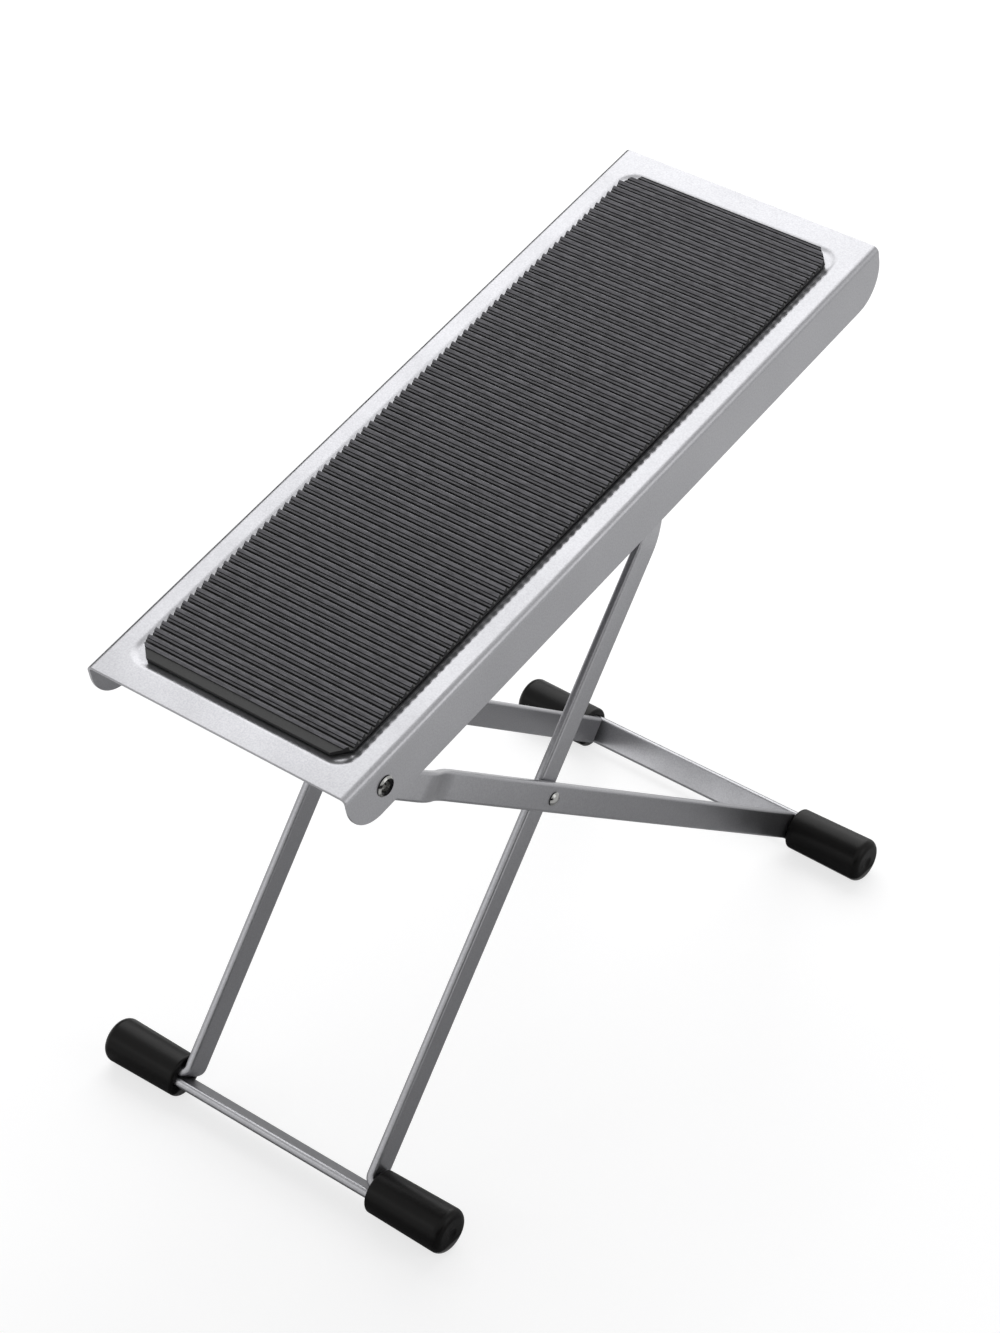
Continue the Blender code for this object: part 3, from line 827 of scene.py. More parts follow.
@dataclass
class Footplate:
    """Pressed sheet footplate with two side flanges and a shallow pan."""

    length: float = 290.0 * MM
    width: float = 108.0 * MM
    sheet: float = 1.1 * MM
    bend_radius: float = 2.4 * MM
    flange_depth: float = 19.4 * MM
    lobe_radius: float = 13.5 * MM
    pan_border: float = 7.2 * MM
    pan_end_border: float = 8.5 * MM
    pan_depth: float = 0.55 * MM
    pan_rim: float = 2.8 * MM
    pan_corner: float = 8.0 * MM
    rivet_hole: float = 2.5 * MM
    edge_break: float = 0.22 * MM
    rim_steps: int = 8

    @property
    def middle(self) -> tuple[float, float, float]:
        """Middle of the flat sheet, before the pan is pressed."""
        return 0, PLATE_FRONT + self.length / 2, PLATE_TOP

    def build(self, stance: Stance, finishes: Finishes) -> None:
        """Model the footplate.

        Args:
            stance: axes of the bodies.
            finishes: the materials.
        """
        plate = self._press_pan()
        self._add_border(plate)
        self._bend_flanges(plate)
        self._round_lobes(plate)
        use_modifier(
            plate, "SOLIDIFY", thickness=self.sheet, offset=-1, use_even_offset=True, use_quality_normals=True
        )
        bore(plate, (0, 0, 0), self.rivet_hole, self.width)
        soften(plate, self.edge_break, angle=50)
        set_place(plate, stance.plate)
        shade(plate, angle=32)
        install(plate, Body.PLATE, "footplate", finishes.silver)

    def _press_pan(self) -> Piece:
        """Press the rounded pan with its rolled rim.

        Returns:
            The pan alone, from its rim inwards.
        """
        wide = self.width - 2 * self.pan_border
        long = self.length - 2 * self.pan_end_border
        plate = start_plane("pressed_footplate", wide, long, self.middle, corner=self.pan_corner, steps=16)
        steps = self.rim_steps
        heights = [self.pan_depth * cos(pi * step / steps) / 2 for step in range(steps + 1)]
        with editing(plate):
            for before, after in zip(heights, heights[1:]):
                pick(plate, Kind.FACES, self._is_pan_floor)
                bpy.ops.mesh.inset(thickness=self.pan_rim / steps, depth=after - before)
        return plate

    def _is_pan_floor(self, place: Vector, normal: Vector) -> bool:
        """Whether a face is the flat of the pan."""
        return near(place.x, self.middle[0]) and near(place.y, self.middle[1])

    def _add_border(self, plate: Piece) -> None:
        """Fill the flat border between the pan and the bends.

        Args:
            plate: the pan, which the border is joined to.
        """
        flat = start_plane("border", self.width - 2 * self.bend_radius, self.length, self.middle)
        with editing(flat):
            bpy.ops.mesh.select_all(action="SELECT")
            bpy.ops.mesh.delete(type="ONLY_FACE")
        alone(plate)
        flat.select_set(True)
        bpy.ops.object.join()
        with editing(plate):
            pick_open_edges(plate)
            bpy.ops.mesh.fill(use_beauty=True)
            weld()

    def _bend_flanges(self, plate: Piece) -> None:
        """Fold both long edges down and draw the flanges out.

        Args:
            plate: the flat plate with its pan.
        """
        flat = self.width / 2 - self.bend_radius
        drop = self.flange_depth - self.bend_radius
        for side in Side:
            edge = side.value * flat
            with editing(plate):
                pick(plate, Kind.EDGES, lambda place, way: near(place.x, edge) and abs(way.y) > STRAIGHT)
                spin_on(side.value * pi / 2, (edge, 0, PLATE_TOP - self.bend_radius), (0, 1, 0), steps=10)
                extrude((0, 0, -drop))

    def _round_lobes(self, plate: Piece) -> None:
        """Round the four lower corners of the flanges and turn the sheet's outside up.

        Args:
            plate: the bent plate.
        """
        foot = PLATE_TOP - self.flange_depth
        with editing(plate):
            weld()
            pick(plate, Kind.VERTS, lambda place, normal: near(place.z, foot))
            bpy.ops.mesh.bevel(offset=self.lobe_radius, segments=28, affect="VERTICES")
            weld()
            mesh = bmesh.from_edit_mesh(plate.data)
            top = max(mesh.faces, key=lambda face: face.calc_center_median().z)
            if top.normal.z < 0:
                bpy.ops.mesh.flip_normals()


@dataclass
class RibbedMat:
    """Rubber mat with cross ribs that lean forward, each with a low ledge along its front."""

    half_width: float = 43.4 * MM
    front: float = -5.2 * MM
    rear: float = 261.4 * MM
    seat: float = 10.05 * MM
    top: float = 12.3 * MM
    first_tip: float = -0.9 * MM
    pitch: float = 3.4215 * MM
    # One rib from its leading tip: how far along the plate and how far up, in mm
    groove_mm: tuple[tuple[float, float], ...] = ((0.10, -1.6), (1.20, -1.6), (1.58, -1.05))
    crown_mm: tuple[tuple[float, float], ...] = ((2.22, -0.88), (2.32, -0.50), (3.20, 0.0))
    lead_fall: float = 0.2 * MM
    edge_break: float = 0.05 * MM
    corner_cut: float = 5.2 * MM
    # Which faces of the mat take painted light (crowns, ledges a little less) and which take painted shade
    # (walls, grooves, front band)
    lit_margin: float = 0.1 * MM
    lit_slope: float = 0.8
    ledge_light: float = 0.8
    shaded_front: float = 1.5 * MM

    def build(self, stance: Stance, finishes: Finishes) -> None:
        """Model the mat.

        Args:
            stance: axes of the bodies.
            finishes: the materials.
        """
        start = self.first_tip
        rib = [(start + y * MM, self.top + z * MM) for y, z in (*self.groove_mm, *self.crown_mm)]
        profile = [(start, self.top), *rib, (start + self.pitch, self.top)]
        mat = draw_line("ribbed_rubber_mat", [(0, y, z) for y, z in profile])
        count = int((self.rear - start) / self.pitch) + 1
        use_modifier(
            mat, "ARRAY", count=count, use_relative_offset=False, use_constant_offset=True,
            constant_offset_displace=(0, self.pitch, 0), use_merge_vertices=True, merge_threshold=JOIN,
        )
        with editing(mat):
            self._lead_in(mat)
            bpy.ops.mesh.select_all(action="SELECT")
            bpy.ops.transform.translate(value=(-self.half_width, 0, 0))
            extrude((2 * self.half_width, 0, 0))
            slice_off((0, self.rear, 0), (0, 1, 0), fill=False)
            self._close_underside(mat)
        soften(mat, self.edge_break, segments=1, angle=28)
        with editing(mat):
            self._cut_corners()
            weld()
        self._mark_rubbed(mat)
        set_place(mat, stance.plate)
        shade(mat, angle=20)
        install(mat, Body.PLATE, "ribbed_mat", finishes.mat)

    def _lead_in(self, mat: Piece) -> None:
        """Draw the flat band in front of the first rib, from the rib's tip forwards.

        Args:
            mat: the line of the ribs.
        """
        pick(mat, Kind.VERTS, lambda place, normal: place.y < self.first_tip + JOIN)
        before = self.first_tip - self.pitch
        crown = [(before + y * MM, self.top + z * MM) for y, z in reversed(self.crown_mm)]
        stops = [(self.first_tip, self.top), *crown, (self.front, crown[-1][1] - self.lead_fall)]
        draw_on([(0, y, z) for y, z in stops])

    def _mark_rubbed(self, mat: Piece) -> None:
        """Mark the crowns and ledges for painted light, and the walls, grooves and front band for painted
        shade.

        Args:
            mat: the mat in the plate's axes.
        """
        marks = mat.data.attributes.new("rubbed", "FLOAT", "FACE")
        ledge = self.top + self.crown_mm[1][1] * MM - self.lit_margin
        floor = self.top + self.groove_mm[-1][1] * MM - self.lit_margin
        shares = []
        for face in mat.data.polygons:
            in_band = face.center.y < self.first_tip - self.shaded_front
            if in_band or face.normal.z <= self.lit_slope or face.center.z <= floor:
                shares.append(0.0)
            else:
                shares.append(1.0 if face.center.z > ledge else self.ledge_light)
        marks.data.foreach_set("value", shares)

    def _close_underside(self, mat: Piece) -> None:
        """Draw the rim of the ribs down to the seat and close it.

        Args:
            mat: the sheet of the ribs.
        """
        pick_open_edges(mat)
        extrude((0, 0, self.seat - self.top))
        bpy.ops.transform.resize(value=(1, 1, 0), center_override=(0, 0, self.seat))
        bpy.ops.mesh.edge_face_add()
        weld()

    def _cut_corners(self) -> None:
        """Trim the four corners at forty-five degrees."""
        half = self.corner_cut / 2
        for across in (-1, 1):
            for along, end in ((-1, self.front), (1, self.rear)):
                place = (across * (self.half_width - half), end - along * half, self.seat)
                slice_off(place, (across, along, 0), fill=True)


@dataclass
class StripFrame:
    """Frame bent from one flat strip: two sides, folded ears and a crossbar."""

    name: str
    node: str
    body: Body
    top_x: float
    main_x: float
    joggle: float
    foot: float
    holes: tuple[tuple[float, float], tuple[float, float]]
    width: float = 10.6 * MM
    thickness: float = 3.2 * MM
    edge_radius: float = 1.15 * MM
    joggle_length: float = 24.0 * MM
    foot_bend: float = 3.2 * MM
    hairpin_gap: float = 0.5 * MM
    ear_length: float = 27.0 * MM
    edge_steps: int = 4
    top_turn: float = radians(86)
    top_steps: int = 10
    joggle_steps: int = 8
    foot_steps: int = 10
    hairpin_steps: int = 16

    def build(self, place: Matrix, finishes: Finishes) -> None:
        """Bend the frame.

        Args:
            place: where the frame's own axes go, with Y down the strip from its top hole.
            finishes: the materials.
        """
        bar = self._start_section()
        with editing(bar):
            self._round_top()
            self._run_down(bar)
            self._fold_ear()
        use_modifier(bar, "MIRROR", use_axis=(True, False, False), use_clip=True, merge_threshold=JOIN)
        with editing(bar):
            weld()
        for along, radius in self.holes:
            bore(bar, (0, along, 0), radius, 2 * self.top_x)
        set_place(bar, place)
        shade(bar, angle=38)
        install(bar, self.body, self.node, finishes.silver)

    def _start_section(self) -> Piece:
        """Cut the strip across at its top hole, with its soft edges.

        Returns:
            The section as one face that looks up the strip.
        """
        bar = start_plane(
            self.name, self.thickness, self.width, corner=self.edge_radius, steps=self.edge_steps
        )
        set_place(bar, Matrix.Translation((self.top_x, 0, 0)) @ Matrix.Rotation(pi / 2, 4, "X"))
        return bar

    def _round_top(self) -> None:
        """Draw the strip up past its top hole to a round end."""
        bpy.ops.mesh.select_all(action="SELECT")
        radius = self.width / 2
        # It stops short of a right angle, at a small flat in place of a pole
        turns = [self.top_turn * step / self.top_steps for step in range(self.top_steps + 1)]
        for before, after in zip(turns, turns[1:]):
            extrude((0, -radius * (sin(after) - sin(before)), 0))
            bpy.ops.transform.resize(
                value=(1, 1, cos(after) / cos(before)), center_override=(self.top_x, -radius * sin(after), 0)
            )

    def _run_down(self, bar: Piece) -> None:
        """Run the strip down through its joggle to the foot bend.

        Args:
            bar: the strip with its round end.
        """
        pick(bar, Kind.FACES, lambda place, normal: near(place.y, 0) and abs(normal.y) > STRAIGHT)
        inset = self.top_x - self.main_x
        swing = 2 * atan2(inset, self.joggle_length)
        bend = (self.joggle_length ** 2 + inset ** 2) / (4 * inset)
        extrude((0, self.joggle, 0))
        self._bend(swing, (self.top_x - bend, self.joggle, 0), self.joggle_steps)
        self._bend(-swing, (self.main_x + bend, self.joggle + self.joggle_length, 0), self.joggle_steps)
        layer = (self.thickness + self.hairpin_gap) / 2
        stop = self.foot - layer - self.foot_bend
        extrude((0, stop - self.joggle - self.joggle_length, 0))

    def _fold_ear(self) -> None:
        """Bend the foot outwards, fold it back on itself and run the crossbar to the middle."""
        layer = (self.thickness + self.hairpin_gap) / 2
        straight = self.ear_length - layer - self.thickness / 2
        tip = self.main_x + self.foot_bend + straight
        corner = (self.main_x + self.foot_bend, self.foot - layer - self.foot_bend, 0)
        self._bend(-pi / 2, corner, self.foot_steps)
        extrude((straight, 0, 0))
        self._bend(pi, (tip, self.foot, 0), self.hairpin_steps)
        extrude((-tip, 0, 0))
        bpy.ops.mesh.delete(type="ONLY_FACE")

    def _bend(self, angle: float, centre: Sequence[float], steps: int) -> None:
        """Bend the end of the strip round a centre, about the axis across its width."""
        spin_on(angle, centre, (0, 0, 1), steps)


@dataclass
class PivotSet:
    """Rivets and washers of one pivot line."""

    kind: str
    body: Body
    head_face: float
    washer_face: float
    tail_face: float
    shank: float
    head_radius: float
    head_height: float
    washer_radius: float = 4.8 * MM
    washer_thickness: float = 0.5 * MM
    tail_radius: float = 3.2 * MM
    tail_height: float = 1.4 * MM
    hollow_radius: float = 0.0
    hollow_floor: float = 0.0
    hollow_lip: float = 0.35 * MM
    hollow_soft: float = 0.1 * MM
    hollow_step: float = 0.245 * MM
    crown_start: float = 0.96
    edge_round: float = 0.5 * MM
    rim_break: float = 0.12 * MM

    def build(self, place: Matrix, finishes: Finishes) -> None:
        """Turn the rivets and washers.

        Args:
            place: the body's axes, moved to the pivot.
            finishes: the materials.
        """
        rivet = turn_on_lathe(self.kind + "_rivet_turned_right", self._rivet_profile())
        inside = [
            face.index for face in rivet.data.polygons
            if face.center.x > self.head_face and hypot(face.center.y, face.center.z) < self.hollow_radius
        ]
        set_place(rivet, place)
        pair = install_pair(rivet, self.body, self.kind + "_rivet", finishes.bright)
        if inside:
            # Painted shade: the faces inside the punched hollow take the dark metal, standing in for the
            # shade inside the bright head
            for piece in pair:
                piece.data.materials.append(finishes.rivet)
                for index in inside:
                    piece.data.polygons[index].material_index = 1
        low = self.washer_face - self.washer_thickness
        ring = washer_ring(low, self.washer_face, self.shank + CLEARANCE, self.washer_radius)
        washer = turn_on_lathe(self.kind + "_washer_turned_right", ring, closed=True)
        set_place(washer, place)
        install_pair(washer, self.body, self.kind + "_washer", finishes.zinc)

    def _rivet_profile(self) -> list[tuple[float, float]]:
        """Profile from the hammered tail to the crown of the head.

        Returns:
            (along X, radius) points.
        """
        end, soft = self.tail_face - self.tail_height, self.edge_round
        tail = [(end, 0), (end, self.tail_radius - soft)]
        tail += arc((end + soft, self.tail_radius - soft), soft, pi, pi / 2, steps=5)[1:]
        tail += [(self.tail_face, self.tail_radius), (self.tail_face, self.shank)]
        rim = [
            (self.head_face, self.shank), (self.head_face, self.head_radius - self.rim_break),
            (self.head_face + self.rim_break / 3, self.head_radius - self.rim_break / 4),
        ]
        centre, sphere, edge = dome(self.head_face, self.head_radius, self.head_height)
        crown = arc(centre, sphere, edge * self.crown_start, asin(self.hollow_radius / sphere), steps=14)
        top = crown[-1][0]
        if not self.hollow_radius:
            return [*tail, *rim, *crown[:-1], (top, 0)]
        lip, soft = self.hollow_lip, self.hollow_soft
        floor = self.head_face + self.hollow_floor
        hollow = [
            (top - soft, self.hollow_radius - self.hollow_step), (top - lip, self.hollow_radius - lip),
            (self.head_face, self.shank - soft), (floor, self.shank - lip), (floor, 0),
        ]
        return [*tail, *rim, *crown, *hollow]


@dataclass
class SupportRod:
    """Rod between the tops of the legs, headed over outside them on a washer."""

    radius: float = 3.0 * MM
    spigot: float = 2.1 * MM
    shoulder: float = 36.0 * MM
    washer_low: float = 39.8 * MM
    washer_thickness: float = 0.8 * MM
    washer_radius: float = 4.5 * MM
    head_radius: float = 3.5 * MM
    head_height: float = 1.3 * MM
    chamfer: float = 0.3 * MM

    def build(self, place: Matrix, finishes: Finishes) -> None:
        """Turn the rod and its washers.

        Args:
            place: the legs' axes, moved to the rod.
            finishes: the materials.
        """
        high = self.washer_low + self.washer_thickness
        head = high + CLEARANCE
        centre, sphere, edge = dome(head, self.head_radius, self.head_height)
        crown = arc(centre, sphere, edge, 0, steps=12)
        half = [
            (self.shoulder - self.chamfer, self.radius), (self.shoulder, self.radius - self.chamfer),
            (self.shoulder, self.spigot), (head, self.spigot), *crown[:-1], (crown[-1][0], 0),
        ]
        rod = turn_on_lathe("turned_support_rod", [*((-x, radius) for x, radius in reversed(half)), *half])
        set_place(rod, place)
        shade(rod, angle=30)
        install(rod, Body.FRONT, "support_rod", finishes.bright)
        hole = self.spigot + CLEARANCE
        ring = washer_ring(self.washer_low, high, hole, self.washer_radius, soft=0.15 * MM)
        washer = turn_on_lathe("rod_washer_stamped_right", ring, closed=True)
        set_place(washer, place)
        install_pair(washer, Body.FRONT, "rod_washer", finishes.zinc)


@dataclass
class NotchedRacks:
    """Angle rails with five notches under the pan, spot welded in the real footrest."""

    spacing: float = 64.0 * MM
    sheet: float = 1.5 * MM
    flange: float = 11.0 * MM
    bend_radius: float = 2.0 * MM
    top: float = 7.2 * MM
    tip: float = 0.1 * MM
    notches: int = 5
    notch_pitch: float = 13.75 * MM
    notch_root: float = 3.3 * MM
    notch_lip: float = 0.3 * MM
    notch_flare: float = 2.6 * MM
    lead: float = 12.0 * MM
    tail: float = 3.0 * MM
    ramp: float = 6.0 * MM
    edge_break: float = 0.18 * MM
    stock_front: float = 155.0 * MM
    stock_length: float = 130.0 * MM

    def build(self, stance: Stance, finishes: Finishes) -> None:
        """Stamp and fold the racks.

        Args:
            stance: axes of the bodies.
            finishes: the materials.
        """
        rack = push_outline("notched_rack_right", self._section(), (0, self.stock_length, 0))
        inner, reach = self.spacing / 2 - 2 * self.flange, 3 * self.flange
        view = push_outline("rack_view", [(inner, y, z) for y, z in self._side_view()], (reach, 0, 0))
        combine(rack, view, "INTERSECT")
        soften(rack, self.edge_break)
        set_place(rack, stance.plate)
        install_pair(rack, Body.PLATE, "rack", finishes.zinc, angle=32)

    def _section(self) -> list[tuple[float, float, float]]:
        """Angle section of the rail at its front end.

        Returns:
            Points in the plate's axes.
        """
        web = self.spacing / 2
        centre = (web - self.bend_radius, self.top - self.bend_radius)
        outside = arc(centre, self.bend_radius, 0, pi / 2, steps=10)
        inside = arc(centre, self.bend_radius - self.sheet, pi / 2, 0, steps=10)
        below = self.tip - self.sheet
        section = [(web, below), *outside, (web - self.flange, self.top)]
        section += [(web - self.flange, self.top - self.sheet), *inside, (web - self.sheet, below)]
        return [(x, self.stock_front, z) for x, z in section]

    def _side_view(self) -> list[tuple[float, float]]:
        """Outline of the web with its notches, steep on the side that carries the load.

        Returns:
            (along the plate, height) points.
        """
        first = HIGH_NOTCH - self.lead
        root = self.notch_root
        last = HIGH_NOTCH + (self.notches - 1) * self.notch_pitch + root + self.tail
        lid = self.top + self.sheet
        under = self.top - self.sheet - CLEARANCE
        outline = [(last + self.ramp, lid), (first - self.ramp, lid)]
        outline += [(first - self.ramp, under), (first, self.tip)]
        for number in range(self.notches):
            centre = HIGH_NOTCH + number * self.notch_pitch
            outline.append((centre - root - self.notch_flare, self.tip))
            outline += arc((centre, self.tip + self.notch_lip), root, pi, 0, steps=16)
            outline.append((centre + root, self.tip))
        return outline + [(last - self.tail / 2, self.tip), (last + self.ramp, under)]


@dataclass
class FootCaps:
    """Pair of moulded rubber caps pushed over the ears of a frame."""

    kind: str
    body: Body
    mouth: float
    along: float
    length: float = 32.5 * MM
    closed_radius: float = 8.5 * MM
    mouth_radius: float = 8.1 * MM
    closed_round: float = 3.0 * MM
    mouth_round: float = 1.2 * MM
    dimple_radius: float = 2.6 * MM
    dimple_depth: float = 0.6 * MM
    socket_depth: float = 29.0 * MM
    socket_half: tuple[float, float] = (3.75 * MM, 5.6 * MM)
    socket_edge: float = 0.9 * MM
    overshoot: float = 1.0 * MM
    dimple_steps: int = 6

    def build(self, place: Matrix, finishes: Finishes) -> None:
        """Mould the caps.

        Args:
            place: axes of the frame that the caps are pushed on.
            finishes: the materials.
        """
        right = turn_on_lathe("rubber_cap_" + self.kind + "_right", self._profile(), steps=72)
        combine(right, self._socket())
        set_place(right, place @ Matrix.Translation((self.mouth, self.along, 0)))
        with editing(right):
            # The floor presses the round rubber flat
            slice_off((0, 0, 0), (0, 0, -1), fill=True)
            weld()
        install_pair(right, self.body, "foot_cap_" + self.kind, finishes.cap, angle=35)

    def _profile(self) -> list[tuple[float, float]]:
        """Profile from the dimple in the closed end round to the mouth.

        Returns:
            (along X, radius) points.
        """
        end, dip = self.length, self.dimple_depth
        bowl = (self.dimple_radius ** 2 + dip ** 2) / (2 * dip)
        edge = asin(self.dimple_radius / bowl)
        turns = [edge * step / self.dimple_steps for step in range(self.dimple_steps + 1)]
        dimple = [(end - dip + bowl * (1 - cos(turn)), bowl * sin(turn)) for turn in turns]
        closed = self.closed_radius - self.closed_round
        rounded = arc((end - self.closed_round, closed), self.closed_round, 0, pi / 2, steps=12)
        lip = self.mouth_radius - self.mouth_round
        mouth = arc((self.mouth_round, lip), self.mouth_round, pi / 2, pi, steps=8)
        return [*dimple, *rounded, *mouth, (0, 0)]

    def _socket(self) -> Piece:
        """Core of the mould that leaves the slot for the folded ear.

        Returns:
            The core as a solid with rounded edges.
        """
        half_thick, half_wide = self.socket_half
        core = start_plane("core", 2 * half_wide, 2 * half_thick, corner=self.socket_edge, steps=5)
        with editing(core):
            bpy.ops.mesh.select_all(action="SELECT")
            extrude((0, 0, self.socket_depth + self.overshoot))
            weld()
        set_place(core, Matrix.Translation((-self.overshoot, 0, 0)) @ Matrix.Rotation(pi / 2, 4, "Y"))
        return core


def facing(place: Sequence[float], aim: Sequence[float]) -> Matrix:
    """Place of something that hangs at one point and faces another.

    Args:
        place: where it hangs.
        aim: the point that it faces.

    Returns:
        Its placement.
    """
    turn = (Vector(aim) - Vector(place)).to_track_quat("-Z", "Y")
    return Matrix.Translation(place) @ turn.to_matrix().to_4x4()


@dataclass(frozen=True)
class Softbox:
    """Rectangular studio light behind a cloth."""

    name: str
    place: tuple[float, float, float]
    aim: tuple[float, float, float]
    size: tuple[float, float]
    watts: float

    def hang(self) -> None:
        """Hang the light and turn it on."""
        bpy.ops.object.select_all(action="DESELECT")
        bpy.ops.object.light_add(type="AREA")
        lamp = bpy.context.active_object
        lamp.name = self.name
        lamp.data.shape = "RECTANGLE"
        lamp.data.size, lamp.data.size_y = self.size
        lamp.data.energy = self.watts
        lamp.matrix_world = facing(self.place, self.aim)


@dataclass(frozen=True)
class Flag:
    """Cloth flag or card that shows only in gloss, as a darker band."""

    name: str
    place: tuple[float, float, float]
    aim: tuple[float, float, float]
    size: tuple[float, float]
    colour: str

    def hang(self) -> None:
        """Hang the flag, with no shadow or bounce of its own."""
        flag = start_plane(self.name, *self.size)
        set_place(flag, facing(self.place, self.aim))
        cloth, board = start_material(self.name + "_cloth")
        shader = board.add(
            "BsdfPrincipled", {"Base Color": linear(self.colour), "Roughness": 1.0, "Specular IOR Level": 0.0}
        )
        board.add("OutputMaterial", {"Surface": shader.outputs[0]})
        flag.data.materials.append(cloth)
        flag.visible_camera = flag.visible_diffuse = flag.visible_shadow = False


@dataclass(frozen=True)
class Studio:
    """White floor and room, one soft light overhead, two fills, flags and the photograph's camera."""

    softboxes: tuple[Softbox, ...] = (
        Softbox(
            "overhead_softbox", place=(-0.62, 1.02, 1.18), aim=(0.0, 0.02, 0.2), size=(1.8, 1.8), watts=21.8
        ),
        Softbox("side_fill", place=(1.5, 0.5, 0.8), aim=(0.0, 0.0, 0.12), size=(0.9, 0.9), watts=3.0),
        Softbox("front_fill", place=(-0.9, -1.5, 0.9), aim=(0.0, 0.0, 0.12), size=(0.4, 0.4), watts=1.0),
    )
    flags: tuple[Flag, ...] = (
        # Painted shade: a grey sheet on the floor under the footrest, seen only in gloss, stands in for the
        # floor's shadow in the metal's reflections
        Flag(
            "painted_floor_shade_card", place=(0.04, 0.03, 0.004), aim=(0.04, 0.03, 1.0), size=(0.26, 0.44),
            colour="#d6d6d6",
        ),
        Flag(
            "black_flag_at_left", place=(-1.30, 0.80, 0.52), aim=(0.0, 0.0, 0.52), size=(1.8, 1.0),
            colour="#0c0c0c",
        ),
        Flag(
            "black_flag_at_right", place=(0.85, -0.60, 0.20), aim=(0.0, 0.0, 0.1), size=(1.0, 0.5),
            colour="#0c0c0c",
        ),
    )
    floor_size: float = 14.0
    floor_colour: str = "#a8a8a8"
    floor_glow: float = 0.74
    fibre_mm: float = 1.5
    world_colour: str = "#f4f4f7"
    world_strength: float = 0.30
    eye: tuple[float, float, float] = (0.61307, -0.77189, 0.91630)
    azimuth: float = 38.428
    elevation: float = 38.291
    roll: float = -0.140
    lens: float = 98.23
    sensor: float = 36.0
    nearest: float = 0.01

    def build(self) -> None:
        """Set up the floor, the lights, the world and the camera."""
        self._lay_floor()
        for rig in (*self.softboxes, *self.flags):
            rig.hang()
        self._set_world()
        self._set_camera()
        bpy.context.scene.view_settings.view_transform = "Standard"

    def _lay_floor(self) -> None:
        """Lay the pale floor, which shows as white and keeps the footrest's shadow."""
        floor = start_plane("studio_floor", self.floor_size, self.floor_size)
        material, board = start_material("matt_white_card")
        place = board.add("TexCoord").outputs["Object"]
        fibres = board.add("TexNoise", {"Vector": place, "Scale": per_mm(self.fibre_mm), "Detail": 2.0})
        rough = board.add("MapRange", {"Value": fibres.outputs["Fac"], "To Min": 0.85, "To Max": 0.95})
        card = board.add("BsdfPrincipled", {
            "Base Color": linear(self.floor_colour), "Roughness": rough.outputs[0], "Specular IOR Level": 0.2,
        })
        share = board.add("Math", {0: self._seen_rays(board), 1: self.floor_glow}, operation="MULTIPLY")
        glow = board.add("Emission", {"Color": (1, 1, 1, 1), "Strength": share.outputs[0]})
        both = board.add("AddShader", {0: card.outputs[0], 1: glow.outputs[0]})
        board.add("OutputMaterial", {"Surface": both.outputs[0]})
        floor.data.materials.append(material)

    def _seen_rays(self, board: NodeBoard) -> bpy.types.NodeSocket:
        """One for rays of the camera, of gloss and of glass.

        Args:
            board: the node tree to work in.

        Returns:
            The output that holds the share.
        """
        rays = board.add("LightPath").outputs
        pair = board.add("Math", {0: rays["Is Camera Ray"], 1: rays["Is Glossy Ray"]}, operation="MAXIMUM")
        every = board.add("Math", {0: pair.outputs[0], 1: rays["Is Transmission Ray"]}, operation="MAXIMUM")
        return every.outputs[0]

    def _set_world(self) -> None:
        """Fill the room with soft light, and show it white."""
        world = bpy.data.worlds.new("white_room")
        world.use_nodes = True
        bpy.context.scene.world = world
        board = NodeBoard(world.node_tree)
        seen = self._seen_rays(board)
        room = board.add("Background", {"Color": linear(self.world_colour), "Strength": self.world_strength})
        white = board.add("Background", {"Color": (1, 1, 1, 1), "Strength": 1.0})
        both = board.add("MixShader", {0: seen, 1: room.outputs[0], 2: white.outputs[0]})
        board.add("OutputWorld", {"Surface": both.outputs[0]})

    def _set_camera(self) -> None:
        """Put the camera where the photograph was taken from."""
        bpy.ops.object.select_all(action="DESELECT")
        bpy.ops.object.camera_add(location=self.eye)
        camera = bpy.context.active_object
        camera.name = "photograph_camera"
        pan = Matrix.Rotation(radians(self.azimuth), 3, "Z")
        tip = Matrix.Rotation(radians(90 - self.elevation), 3, "X")
        camera.rotation_euler = (pan @ tip @ Matrix.Rotation(radians(self.roll), 3, "Z")).to_euler()
        camera.data.lens = self.lens
        camera.data.sensor_width = self.sensor
        camera.data.clip_start = self.nearest
        bpy.context.scene.camera = camera


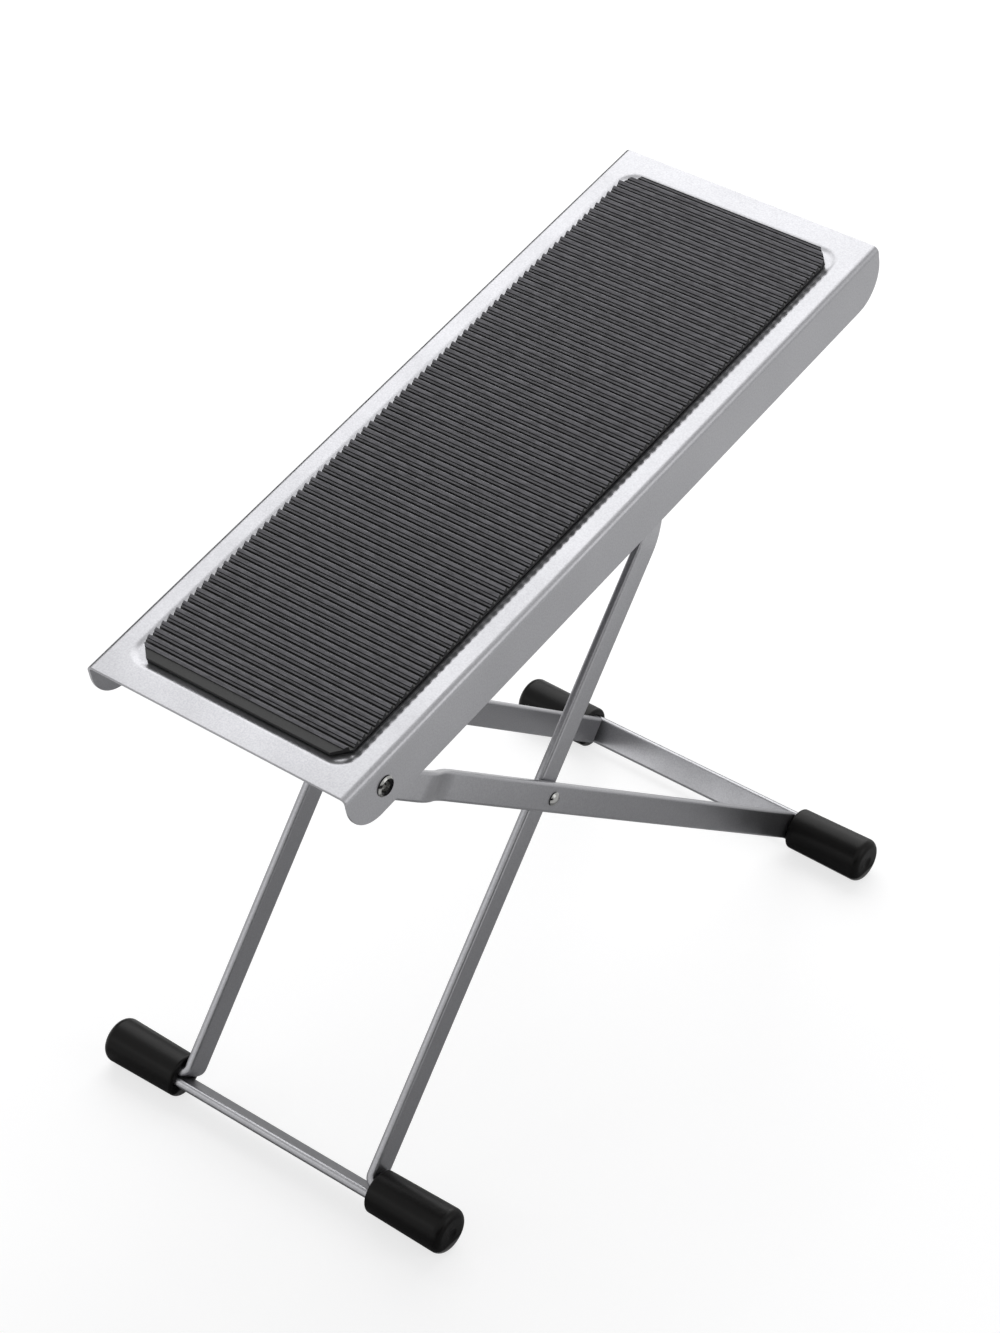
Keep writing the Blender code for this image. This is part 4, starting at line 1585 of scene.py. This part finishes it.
def dress_glue_film(finishes: Finishes) -> None:
    """Give the CAD film under the mat its own finish.

    Args:
        finishes: the materials.
    """
    film = frame["nodes"]["mat_adhesive_film"]
    film.data.materials.clear()
    film.data.materials.append(finishes.glue)


def main() -> None:
    """Build the footrest and the studio."""
    logging.basicConfig(level=logging.INFO, format="%(name)s %(message)s")
    stance = Stance.from_joints(frame["joints"])
    finishes = Finishes.build()
    Footplate().build(stance, finishes)
    RibbedMat().build(stance, finishes)
    NotchedRacks().build(stance, finishes)
    dress_glue_film(finishes)
    up_the_leg = Matrix.Translation((0, UPPER_LEG, 0)) @ Matrix.Rotation(pi, 4, "X")
    StripFrame(
        "bent_rear_frame", "rear_frame", Body.REAR, top_x=50.2 * MM, main_x=46.0 * MM, joggle=26.5 * MM,
        foot=UPPER_ARM + LOWER_ARM, holes=((0, 2.5 * MM), (UPPER_ARM, 2.2 * MM)),
    ).build(stance.arm, finishes)
    StripFrame(
        "bent_front_frame", "front_frame", Body.FRONT, top_x=37.9 * MM, main_x=41.7 * MM, joggle=21.5 * MM,
        foot=UPPER_LEG + LOWER_LEG, holes=((0, 2.4 * MM), (UPPER_LEG, 2.2 * MM)),
    ).build(stance.leg @ up_the_leg, finishes)
    PivotSet(
        "plate", Body.PLATE, head_face=54.3 * MM, washer_face=52.6 * MM, tail_face=48.3 * MM,
        shank=2.2 * MM, head_radius=3.7 * MM, head_height=1.7 * MM,
        hollow_radius=3.0 * MM, hollow_floor=-1.2 * MM,
    ).build(stance.plate, finishes)
    PivotSet(
        "cross", Body.REAR, head_face=47.9 * MM, washer_face=44.1 * MM, tail_face=39.8 * MM,
        shank=1.9 * MM, head_radius=2.6 * MM, head_height=1.2 * MM,
    ).build(stance.arm @ Matrix.Translation((0, UPPER_ARM, 0)), finishes)
    SupportRod().build(stance.leg @ Matrix.Translation((0, UPPER_LEG, 0)), finishes)
    FootCaps("rear", Body.REAR, mouth=48.5 * MM, along=UPPER_ARM + LOWER_ARM).build(stance.arm, finishes)
    FootCaps("front", Body.FRONT, mouth=44.2 * MM, along=-LOWER_LEG).build(stance.leg, finishes)
    Studio().build()


if __name__ == "__main__":
    main()
